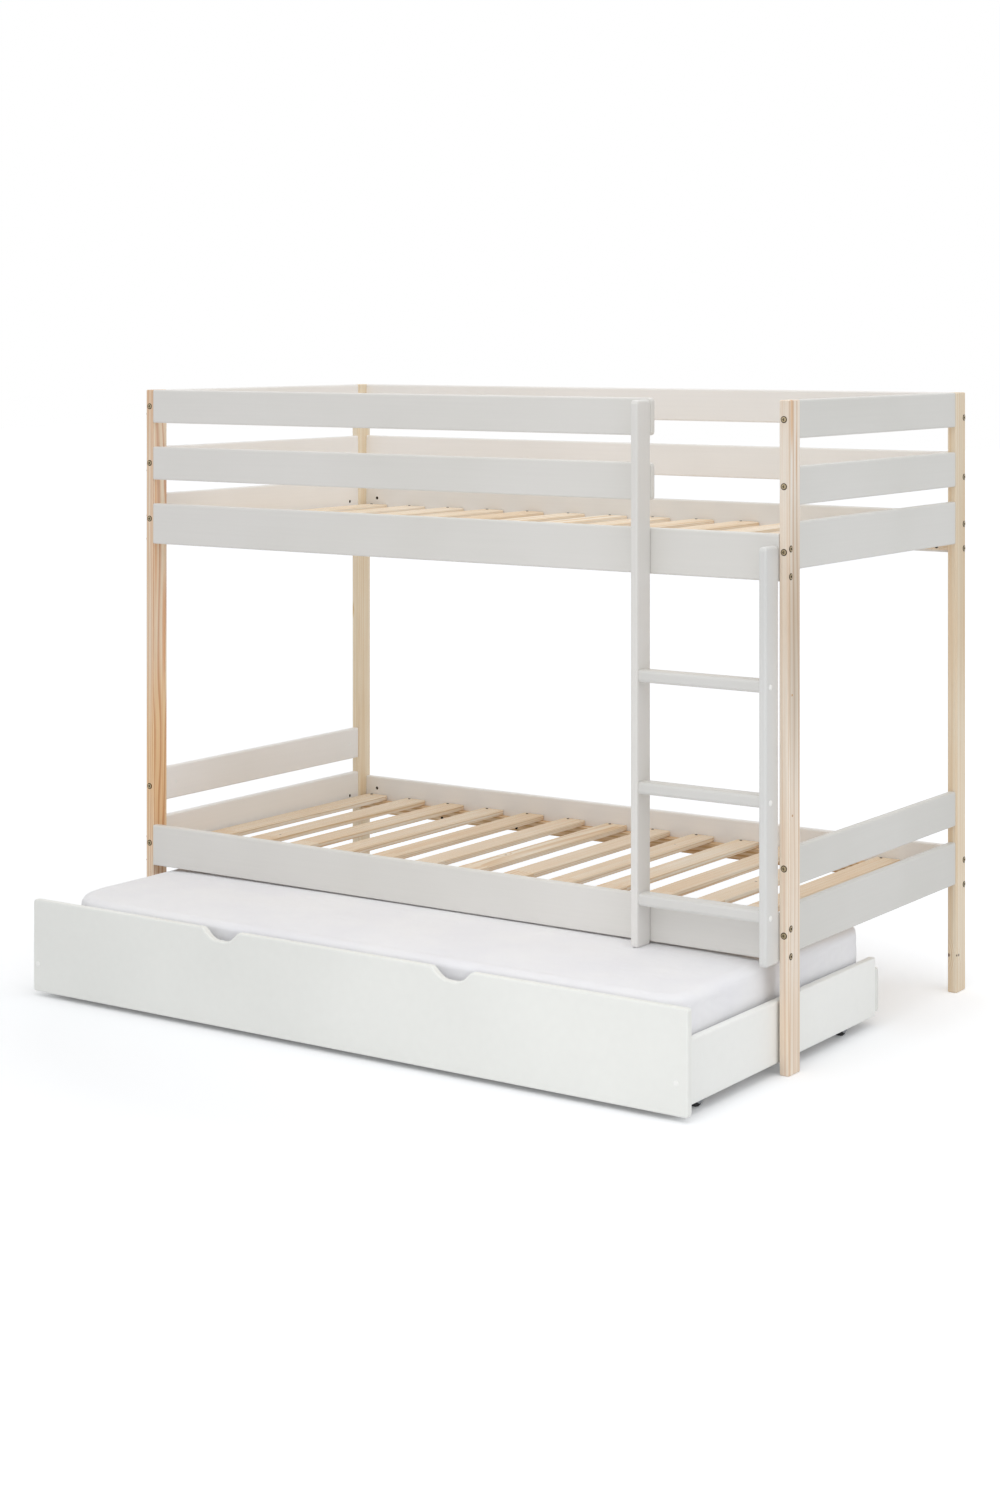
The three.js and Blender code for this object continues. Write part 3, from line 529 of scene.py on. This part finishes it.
# Black phosphate on steel screws: near black heads with next to no shine
screwSteel = fittingMaterial("black phosphated screw steel", metal, "#332F2B", "#231F1C", 0.55, 900)
# Moulded nylon: near black, with a soft and slightly grained gloss
blackNylon = fittingMaterial("moulded black nylon", moulded, "#1B1B1C", "#131314", 0.46, 700)
# Moulded polyethylene cap: clean white, and a little glossier than the lacquer round it
capPlastic = fittingMaterial("moulded white cap plastic", moulded, "#FAFAF8", "#F6F6F3", 0.3, 500)

# A node takes the first of these that its name starts with
finishes = {
    **postFinish, "slat_lower": pineSlats, "upper_slat_base": pineSlats, "trundle_slat_base": pineSlats,
    "ledger_": pineLedgers, "rail_back_upper": lacquerUpperBackPaintedLight, "rail_back": lacquerBackPaintedLight,
    "rail_": paintSides, "end_left": lacquerLeftEndPaintedLight, "end_right_head": lacquerRightLowPaintedShade,
    "end_right_lower": lacquerRightLowPaintedShade, "end_": lacquerRightEndPaintedShade, "ladder_rung": lacquerRungsPaintedShade,
    "ladder_stile_right": lacquerShortStilePaintedShade, "ladder_stile": lacquerLongStilePaintedLight, "trundle_front": panelFront,
    "trundle_back": panelBackPaintedShade, "trundle_side": panelSidesPaintedLight, "trundle_mattress": cottonSheet,
    "caster_bracket": zincSteel, "caster_wheel": blackNylon,
}
for name, node in nodes.items():
    finish = next(material for start, material in finishes.items() if name.startswith(start))
    if not node.material_slots:
        node.data.materials.append(finish)
    for slot in node.material_slots:
        slot.material = finish
print("finishes on all nodes")


# Modelling helpers

flatFace = 0.99          # a face whose normal has more than this along an axis lies square to it
samePlace = 1e-5         # m, two heights closer than this are one


def clearSelection():
    if bpy.context.mode != "OBJECT":
        bpy.ops.object.mode_set(mode="OBJECT")
    bpy.ops.object.select_all(action="DESELECT")


# Selects, in edit mode, the faces or edges that pass a test on their middle (and a face's normal)
def pick(kind, test):
    piece = bpy.context.object
    bpy.ops.mesh.select_mode(type=kind)
    bpy.ops.mesh.select_all(action="DESELECT")
    shape = bmesh.from_edit_mesh(piece.data)
    if kind == "FACE":
        for face in shape.faces:
            face.select_set(test(face.calc_center_median(), face.normal))
    else:
        for edge in shape.edges:
            edge.select_set(test((edge.verts[0].co + edge.verts[1].co) / 2))
    shape.select_flush_mode()
    bmesh.update_edit_mesh(piece.data)


def extrude(x, y, z):
    bpy.ops.mesh.extrude_region_move(TRANSFORM_OT_translate={"value": (x, y, z)})


def scale(size):
    bpy.ops.transform.resize(value=(size, size, 1))


def finishPiece(piece, name, body, material, smoothAngle):
    clearSelection()
    piece.select_set(True)
    bpy.context.view_layer.objects.active = piece
    piece.data.transform(piece.matrix_world)
    piece.matrix_world = Matrix.Identity(4)
    bpy.ops.object.shade_smooth_by_angle(angle=math.radians(smoothAngle))
    piece.name = name
    piece.data.name = name
    piece.data.materials.clear()
    piece.data.materials.append(material)
    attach(piece, body)


# A copy with its own mesh, moved from the origin by a matrix. Stretched, what lies lower than the
# first measure goes further down by the second.
def copyPiece(model, name, body, matrix, stretch=None):
    piece = model.copy()
    piece.data = model.data.copy()
    bpy.context.scene.collection.objects.link(piece)
    if stretch:
        for vert in piece.data.vertices:
            if vert.co.z < stretch[0]:
                vert.co.z -= stretch[1]
    piece.data.transform(matrix)
    piece.name = name
    piece.data.name = name
    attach(piece, body)
    return piece


# Turns a model's +Z to a direction and sets its origin at a place
def aimed(direction, at):
    return Matrix.Translation(at) @ Vector(direction).to_track_quat("Z", "Y").to_matrix().to_4x4()


# Joint connector bolt: a flat bright ring round a hexagon socket, a dark flange that covers the
# recess in the post, and the plain part of the head inside it. The flange and the socket's walls are
# dark steel: painted shade for the recess and the socket. Its top is z = 0. In the ends' boards it
# goes through the post's 57 mm instead of its 26, so its shank is longer.

bolt = {
    "socketRadius": 0.0031, "socketDepth": 0.0028, "socketEdge": 0.0003, "edgeOpening": 1.1,
    "ringRadius": 0.0061,
    "slope": 0.0006, "flangeRadius": 0.0080, "flangeEdge": 0.0003,
    "headRadius": 0.0070, "headHeight": 0.0046,
    "shankRadius": 0.0031, "sideShank": 0.055, "tip": 0.001, "tipTaper": 0.75,
    "longer": (-0.02, 0.031),
    "proud": 0.0009,
}


def makeBolt():
    clearSelection()
    bpy.ops.mesh.primitive_circle_add(vertices=6, radius=bolt["socketRadius"], fill_type="NOTHING",
                                      location=(0, 0, -bolt["socketDepth"]))
    piece = bpy.context.object
    bpy.ops.object.transform_apply(location=True)
    bpy.ops.object.mode_set(mode="EDIT")
    bpy.ops.mesh.select_mode(type="EDGE")
    bpy.ops.mesh.select_all(action="SELECT")
    bpy.ops.mesh.subdivide(number_cuts=3)
    bpy.ops.mesh.select_all(action="SELECT")
    extrude(0, 0, bolt["socketDepth"] - bolt["socketEdge"])
    extrude(0, 0, bolt["socketEdge"])      # the socket's broken edge
    scale(bolt["edgeOpening"])
    extrude(0, 0, 0)                       # the flat of the head, out to a round ring
    bpy.ops.transform.tosphere(value=1.0)
    shape = bmesh.from_edit_mesh(piece.data)
    reach = max(vert.co.xy.length for vert in shape.verts if vert.select)
    scale(bolt["ringRadius"] / reach)
    under = bolt["slope"] + bolt["flangeEdge"]
    steps = ((bolt["slope"], bolt["flangeRadius"] / bolt["ringRadius"]), (bolt["flangeEdge"], 1),
             (0, bolt["headRadius"] / bolt["flangeRadius"]), (bolt["headHeight"] - under, 1),
             (0, bolt["shankRadius"] / bolt["headRadius"]), (bolt["sideShank"], 1),
             (bolt["tip"], bolt["tipTaper"]))
    for drop, size in steps:
        extrude(0, 0, -drop)
        scale(size)
    bpy.ops.mesh.edge_face_add()
    pick("EDGE", lambda middle: abs(middle.z + bolt["socketDepth"]) < samePlace
         and middle.xy.length < bolt["socketRadius"] + samePlace)
    bpy.ops.mesh.edge_face_add()
    bpy.ops.mesh.select_all(action="SELECT")
    bpy.ops.mesh.normals_make_consistent(inside=False)
    bpy.ops.object.mode_set(mode="OBJECT")
    finishPiece(piece, "bolt", "bed_frame", boltSteel, 30)
    piece.data.materials.append(boltShade)
    # The socket's walls and the flange take the dark steel: painted shade
    for face in piece.data.polygons:
        out, height = face.center.xy.length, face.center.z
        wall = out < bolt["socketRadius"] and samePlace < -height < bolt["socketDepth"] - samePlace
        if wall or (out > bolt["ringRadius"] and height > -bolt["headHeight"]):
            face.material_index = 1
    return piece


# Barrel nut that the bolt turns into: its slotted end shows on the board's inside. It is all in
# dark steel, painted shade for the hole it sits in. The guards and head boards have white ones that
# fill their holes, and hardly show. End face z = 0.

nut = {
    "radius": 0.0048, "length": 0.0138, "rim": 0.0005, "inset": 0.0004,
    "slotWidth": 0.0013, "slotDepth": 0.0018, "slotReach": 0.7,
    "sunk": 0.0010,
    "whiteIn": ("top_guard", "low_guard", "head_board"), "whiteSunk": 0.0001, "whiteFit": 1.03,
}


def makeNut():
    clearSelection()
    bpy.ops.mesh.primitive_cylinder_add(vertices=28, radius=nut["radius"], depth=nut["length"],
                                        location=(0, 0, -nut["length"] / 2))
    piece = bpy.context.object
    bpy.ops.object.transform_apply(location=True)
    bpy.ops.object.mode_set(mode="EDIT")
    pick("FACE", lambda middle, normal: abs(normal.z) > flatFace)
    bpy.ops.mesh.bevel(offset=nut["rim"], segments=2, affect="EDGES")
    pick("FACE", lambda middle, normal: normal.z > flatFace and middle.xy.length < samePlace)
    bpy.ops.mesh.inset(thickness=nut["inset"])
    for side in (-1, 1):
        pick("FACE", lambda middle, normal: normal.z > flatFace
             and middle.xy.length < nut["radius"] * nut["slotReach"])
        bpy.ops.mesh.bisect(plane_co=(side * nut["slotWidth"] / 2, 0, 0), plane_no=(1, 0, 0))
    pick("FACE", lambda middle, normal: normal.z > flatFace and middle.xy.length < nut["slotWidth"] / 2)
    extrude(0, 0, -nut["slotDepth"])
    bpy.ops.object.mode_set(mode="OBJECT")
    finishPiece(piece, "barrel_nut", "bed_frame", boltShade, 30)
    return piece


# Screw's low round head with a cross recess, in the slats' ends and the ledgers. It stands on z = 0.

screw = {"headRadius": 0.0036, "headHeight": 0.0012, "dome": 0.0005, "inset": 0.0006,
         "crossWidth": 0.0009, "crossDepth": 0.0008, "crossReach": 0.75}


def makeScrew():
    clearSelection()
    height = screw["headHeight"]
    bpy.ops.mesh.primitive_cylinder_add(vertices=20, radius=screw["headRadius"], depth=height,
                                        location=(0, 0, height / 2))
    piece = bpy.context.object
    bpy.ops.object.transform_apply(location=True)
    bpy.ops.object.mode_set(mode="EDIT")
    pick("FACE", lambda middle, normal: normal.z > flatFace)
    bpy.ops.mesh.bevel(offset=screw["dome"], segments=2, affect="EDGES")
    pick("FACE", lambda middle, normal: normal.z > flatFace and middle.xy.length < samePlace)
    bpy.ops.mesh.inset(thickness=screw["inset"])
    half = screw["crossWidth"] / 2
    reach = screw["headRadius"] * screw["crossReach"]
    for across in ((1, 0, 0), (0, 1, 0)):
        for side in (-1, 1):
            pick("FACE", lambda middle, normal: normal.z > flatFace and middle.xy.length < reach)
            bpy.ops.mesh.bisect(plane_co=(side * half * across[0], side * half * across[1], 0),
                                plane_no=across)
    pick("FACE", lambda middle, normal: normal.z > flatFace and middle.xy.length < reach
         and (abs(middle.x) < half / 2 or abs(middle.y) < half / 2))
    extrude(0, 0, -screw["crossDepth"])
    bpy.ops.object.mode_set(mode="OBJECT")
    finishPiece(piece, "slat_screw", "bed_frame", screwSteel, 30)
    return piece


# White cap over a screw head: a low dome with a small step round it. It stands on z = 0. The places
# are x, y and z in mm, on the ladder's two stiles and on the guest bed's front panel.

cap = {
    "radius": 0.0070, "rim": 0.0006, "step": 0.0004, "height": 0.0021, "rings": 5,
    "rungHeights": (369.6, 635.4, 901.8), "rungY": -40.7, "outerStile": 1954, "innerStile": 1589,
    "panel": {"left": (27, -444, 83), "right": (1939.6, -444, 84)},
}


def makeCap():
    clearSelection()
    bpy.ops.mesh.primitive_circle_add(vertices=32, radius=cap["radius"], fill_type="NGON")
    piece = bpy.context.object
    bpy.ops.object.mode_set(mode="EDIT")
    bpy.ops.mesh.select_all(action="SELECT")
    extrude(0, 0, cap["rim"])
    bpy.ops.mesh.inset(thickness=cap["step"])
    rings = cap["rings"]
    for ring in range(1, rings + 1):
        angle, last = math.pi / 2 * ring / (rings + 1), math.pi / 2 * (ring - 1) / (rings + 1)
        rise = (cap["height"] - cap["rim"]) * (math.sin(angle) - math.sin(last))
        extrude(0, 0, rise)
        scale(math.cos(angle) / math.cos(last))
    bpy.ops.mesh.select_all(action="SELECT")
    bpy.ops.mesh.normals_make_consistent(inside=False)
    bpy.ops.object.mode_set(mode="OBJECT")
    finishPiece(piece, "screw_cap", "bed_frame", capPlastic, 25)
    return piece


# Where the bolts go, in mm on the drawing. The boards' middles lie on these lines, their nuts lie
# nutIn from the posts' outsides, and each board has its bottom's height and its bolts' heights over it.

bed = {"length": 1980, "depth": 980, "halfBoard": 10}
sideBoards = {
    "middles": {"front": 10, "back": 970}, "nutIn": 66.25,
    "boards": {"top_guard": (1472, [24]), "low_guard": (1317, [24]), "upper_bunk": (1142, [12, 76]),
               "lower_bunk": (264, [12, 76])},
}
endBoards = {
    "middles": {"left": 13, "right": 1967}, "nutIn": 97.25,
    "boards": {"top_guard": (1472, [45]), "low_guard": (1317, [45]), "upper_bunk": (1168, [42]),
               "head_board": (434, [45]), "lower_bunk": (282, [42])},
}
inwards = {"left": 1, "right": -1, "front": 1, "back": -1}


def nutDepth(board):
    return bed["halfBoard"] - nut["whiteSunk" if board in nut["whiteIn"] else "sunk"] * 1000


# For every bolt: board, corner, place and direction, its nut's place and direction, and if it is longer
def boltPlaces():
    proud = bolt["proud"] * 1000
    for board, (bottom, bolts) in sideBoards["boards"].items():
        for face, y in sideBoards["middles"].items():
            for side, x in (("left", 0), ("right", bed["length"])):
                if face == "front" and side == "right" and board.endswith("guard"):
                    continue       # these end at the ladder
                way, inside = inwards[side], inwards[face]
                for up in bolts:
                    height = bottom + up
                    nutAt = (x + way * sideBoards["nutIn"], y + inside * nutDepth(board), height)
                    yield (board, f"{face}_{side}", (x - way * proud, y, height), (-way, 0, 0),
                           nutAt, (0, inside, 0), False)
    for board, (bottom, bolts) in endBoards["boards"].items():
        for side, x in endBoards["middles"].items():
            for face, y in (("front", 0), ("back", bed["depth"])):
                way, inside = inwards[face], inwards[side]
                for up in bolts:
                    height = bottom + up
                    nutAt = (x + inside * nutDepth(board), y + way * endBoards["nutIn"], height)
                    yield (board, f"{face}_{side}", (x, y - way * proud, height), (0, -way, 0),
                           nutAt, (inside, 0, 0), True)


def addBolts():
    model, nutModel = makeBolt(), makeNut()
    widen = Matrix.Diagonal((nut["whiteFit"], nut["whiteFit"], 1, 1))
    whiteNut = copyPiece(nutModel, "white_nut", "bed_frame", widen)
    whiteNut.data.materials[0] = capPlastic
    count = 0
    for board, corner, boltAt, boltWay, nutAt, nutWay, longer in boltPlaces():
        count += 1
        copyPiece(model, f"bolt_{corner}_{count:02d}", "bed_frame", aimed(boltWay, place(*boltAt)),
                  bolt["longer"] if longer else None)
        copyPiece(whiteNut if board in nut["whiteIn"] else nutModel, f"barrel_nut_{corner}_{count:02d}",
                  "bed_frame", aimed(nutWay, place(*nutAt)))
    for spare in (model, nutModel, whiteNut):
        bpy.data.objects.remove(spare)
    print(count, "bolts and barrel nuts")


# Slat screws stand aside of the slats' middles; ledger screws are a size larger. Places are in mm on
# the drawing: the slats' tops, the ledgers' bottoms, and their inner faces with the way they look.

slatScrews = {
    "tops": {"lower": 322, "upper": 1200}, "slats": 14, "first": 71, "pitch": 1838 / 13, "aside": -16,
    "rows": (32, 948),
}
ledgerScrews = {
    "bottoms": {"lower": 271.75, "upper": 1149.75}, "up": 8.5, "faces": ((45.25, 1), (934.75, -1)),
    "from": 62, "to": 1918, "inEach": 8, "size": 1.25,
}


def addScrews():
    model = makeScrew()
    count = 0
    for name, top in slatScrews["tops"].items():
        for i in range(slatScrews["slats"]):
            for y in slatScrews["rows"]:
                count += 1
                x = slatScrews["first"] + i * slatScrews["pitch"] + slatScrews["aside"]
                copyPiece(model, f"slat_screw_{name}_{count:02d}", "bed_frame",
                          aimed((0, 0, 1), place(x, y, top)))
    span = ledgerScrews["to"] - ledgerScrews["from"]
    for name, bottom in ledgerScrews["bottoms"].items():
        for y, way in ledgerScrews["faces"]:
            for i in range(ledgerScrews["inEach"]):
                count += 1
                x = ledgerScrews["from"] + span * i / (ledgerScrews["inEach"] - 1)
                matrix = aimed((0, way, 0), place(x, y, bottom + ledgerScrews["up"]))
                matrix = matrix @ Matrix.Scale(ledgerScrews["size"], 4)
                copyPiece(model, f"ledger_screw_{name}_{count:02d}", "bed_frame", matrix)
    bpy.data.objects.remove(model)
    print(count, "slat and ledger screws")


def addCaps():
    model = makeCap()
    for i, height in enumerate(cap["rungHeights"]):
        for side, x, way in (("right", cap["outerStile"], 1), ("left", cap["innerStile"], -1)):
            copyPiece(model, f"screw_cap_rung_{i + 1}_{side}", "bed_frame",
                      aimed((way, 0, 0), place(x, cap["rungY"], height)))
    for side, at in cap["panel"].items():
        copyPiece(model, f"screw_cap_panel_{side}", "trundle", aimed((0, -1, 0), place(*at)))
    bpy.data.objects.remove(model)
    print("screw caps on")


# Small wooden plugs that close two spare holes in the front right post, at these y and z in mm

plug = {"radius": 0.0027, "rim": 0.0004, "domed": 0.4, "proud": 0.0004,
        "places": ((15.7, 879.6), (17.6, 600.7))}


def addPlugs():
    clearSelection()
    bpy.ops.mesh.primitive_cylinder_add(vertices=20, radius=plug["radius"], depth=plug["proud"],
                                        location=(0, 0, plug["proud"] / 2))
    model = bpy.context.object
    bpy.ops.object.mode_set(mode="EDIT")
    pick("FACE", lambda middle, normal: normal.z > flatFace)
    bpy.ops.mesh.inset(thickness=plug["rim"])
    bpy.ops.transform.translate(value=(0, 0, plug["rim"] * plug["domed"]))
    bpy.ops.mesh.inset(thickness=plug["rim"] * 2)
    bpy.ops.object.mode_set(mode="OBJECT")
    finishPiece(model, "wood_plug", "bed_frame", pinePlugs, 40)
    for i, (y, z) in enumerate(plug["places"]):
        copyPiece(model, f"wood_plug_{i + 1}", "bed_frame", aimed((1, 0, 0), place(bed["length"], y, z)))
    bpy.data.objects.remove(model)
    print("plugs in")


# The casters' riveted axle ends: a low mushroom head with a dimple. After the wall, each step goes
# up by a share of the height and draws in to a share of the radius before it.

rivet = {"radius": 0.0052, "height": 0.0018, "wall": 0.35, "dimpleEdge": 0.0006, "dimple": 0.0004,
         "steps": ((0.3, 0.86), (0.2, 0.8), (0.15, 0.66))}


def addRivets():
    clearSelection()
    bpy.ops.mesh.primitive_circle_add(vertices=24, radius=rivet["radius"], fill_type="NGON")
    model = bpy.context.object
    bpy.ops.object.mode_set(mode="EDIT")
    bpy.ops.mesh.select_all(action="SELECT")
    extrude(0, 0, rivet["height"] * rivet["wall"])
    for share, size in rivet["steps"]:
        extrude(0, 0, rivet["height"] * share)
        scale(size)
    bpy.ops.mesh.inset(thickness=rivet["dimpleEdge"])
    bpy.ops.transform.translate(value=(0, 0, -rivet["dimple"]))
    bpy.ops.mesh.select_all(action="SELECT")
    bpy.ops.mesh.normals_make_consistent(inside=False)
    bpy.ops.object.mode_set(mode="OBJECT")
    finishPiece(model, "axle_rivet", "trundle", zincSteel, 40)
    for side in ("left", "right"):
        for face in ("front", "back"):
            lo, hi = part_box(f"caster_bracket_{face}_{side}")
            wheelLo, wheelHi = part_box(f"caster_wheel_{face}_{side}")
            middle = (wheelLo + wheelHi) / 2
            for way, edge, which in ((-1, lo.x, "inner"), (1, hi.x, "outer")):
                copyPiece(model, f"axle_rivet_{face}_{side}_{which}", "trundle",
                          aimed((way, 0, 0), Vector((edge, middle.y, middle.z))))
    bpy.data.objects.remove(model)
    print("axle rivets on")


addBolts()
addScrews()
addCaps()
addPlugs()
addRivets()


# Guest bed's mattress in its fitted sheet: the solid's form, swelled by a cloth simulation

mattress = {
    "shrink": 0.0035, "voxel": 0.012,
    "frames": 20, "quality": 5, "mass": 0.3, "stiffness": 15, "bending": 2, "slack": -0.012,
    "pressure": 4.0,
    "cap": 0.0045,           # m, the furthest that the cloth may move
    "tighter": 0.02, "crown": 0.0035,
}


# The cloth swells for some frames; then its points keep their moves, but none beyond the cap
def swell(piece):
    before = [vert.co.copy() for vert in piece.data.vertices]
    cloth = piece.modifiers.new("swell", "CLOTH")
    settings = cloth.settings
    settings.quality = mattress["quality"]
    settings.mass = mattress["mass"]
    settings.tension_stiffness = mattress["stiffness"]
    settings.compression_stiffness = mattress["stiffness"]
    settings.bending_stiffness = mattress["bending"]
    settings.shrink_min = mattress["slack"]
    settings.use_pressure = True
    settings.uniform_pressure_force = mattress["pressure"]
    settings.effector_weights.gravity = 0
    cloth.point_cache.frame_start = 1
    cloth.point_cache.frame_end = mattress["frames"]
    for number in range(1, mattress["frames"] + 1):
        bpy.context.scene.frame_set(number)
    swollen = piece.evaluated_get(bpy.context.evaluated_depsgraph_get())
    after = [vert.co.copy() for vert in swollen.to_mesh().vertices]
    swollen.to_mesh_clear()
    piece.modifiers.remove(cloth)
    for vert, old, new in zip(piece.data.vertices, before, after):
        move = new - old
        if move.length > mattress["cap"]:
            move = move.normalized() * mattress["cap"]
        vert.co = old + move
    bpy.context.scene.frame_set(1)


# Smoothing rounds the rims and draws the form in by some mm, so the upper rims are made tighter,
# the form is brought back to its full size, and the top gets a low crown
def trimForm(piece):
    verts = piece.data.vertices
    moves = [vert.normal * mattress["tighter"] * (vert.normal.xy.length + vert.normal.z - 1)
             if vert.normal.z > 0 else Vector() for vert in verts]
    for vert, move in zip(verts, moves):
        vert.co += move
    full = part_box("trundle_mattress")
    drawn = [(min(vert.co[axis] for vert in verts), max(vert.co[axis] for vert in verts))
             for axis in range(3)]
    for vert in verts:
        share = [(vert.co[axis] - low) / (high - low) for axis, (low, high) in enumerate(drawn)]
        vert.co = [full[0][axis] + share[axis] * (full[1][axis] - full[0][axis]) for axis in range(3)]
        # A share times its rest is 1/4 in the middle, so 16 makes the crown's height whole there
        rest = [1 - part for part in share]
        vert.co.z += 16 * mattress["crown"] * share[2] * share[0] * rest[0] * share[1] * rest[1]


def makeMattress():
    clearSelection()
    source = nodes["trundle_mattress"]
    piece = bpy.data.objects.new("mattress_in_sheet", source.data.copy())
    bpy.context.scene.collection.objects.link(piece)
    piece.data.transform(source.matrix_world)
    piece.select_set(True)
    bpy.context.view_layer.objects.active = piece
    bpy.ops.object.mode_set(mode="EDIT")
    bpy.ops.mesh.select_all(action="SELECT")
    bpy.ops.mesh.remove_doubles(threshold=0.00005)
    bpy.ops.transform.shrink_fatten(value=-mattress["shrink"])
    bpy.ops.object.mode_set(mode="OBJECT")
    remesh = piece.modifiers.new("even mesh", "REMESH")
    remesh.mode = "VOXEL"
    remesh.voxel_size = mattress["voxel"]
    bpy.ops.object.modifier_apply(modifier=remesh.name)
    swell(piece)
    smooth = piece.modifiers.new("soft", "SUBSURF")
    smooth.levels = smooth.render_levels = 1
    bpy.ops.object.modifier_apply(modifier=smooth.name)
    trimForm(piece)
    bpy.ops.object.shade_smooth()
    piece.data.materials.clear()
    piece.data.materials.append(cottonSheet)
    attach(piece, "trundle")
    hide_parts("trundle_mattress")
    print("mattress made,", len(piece.data.polygons), "faces")


makeMattress()
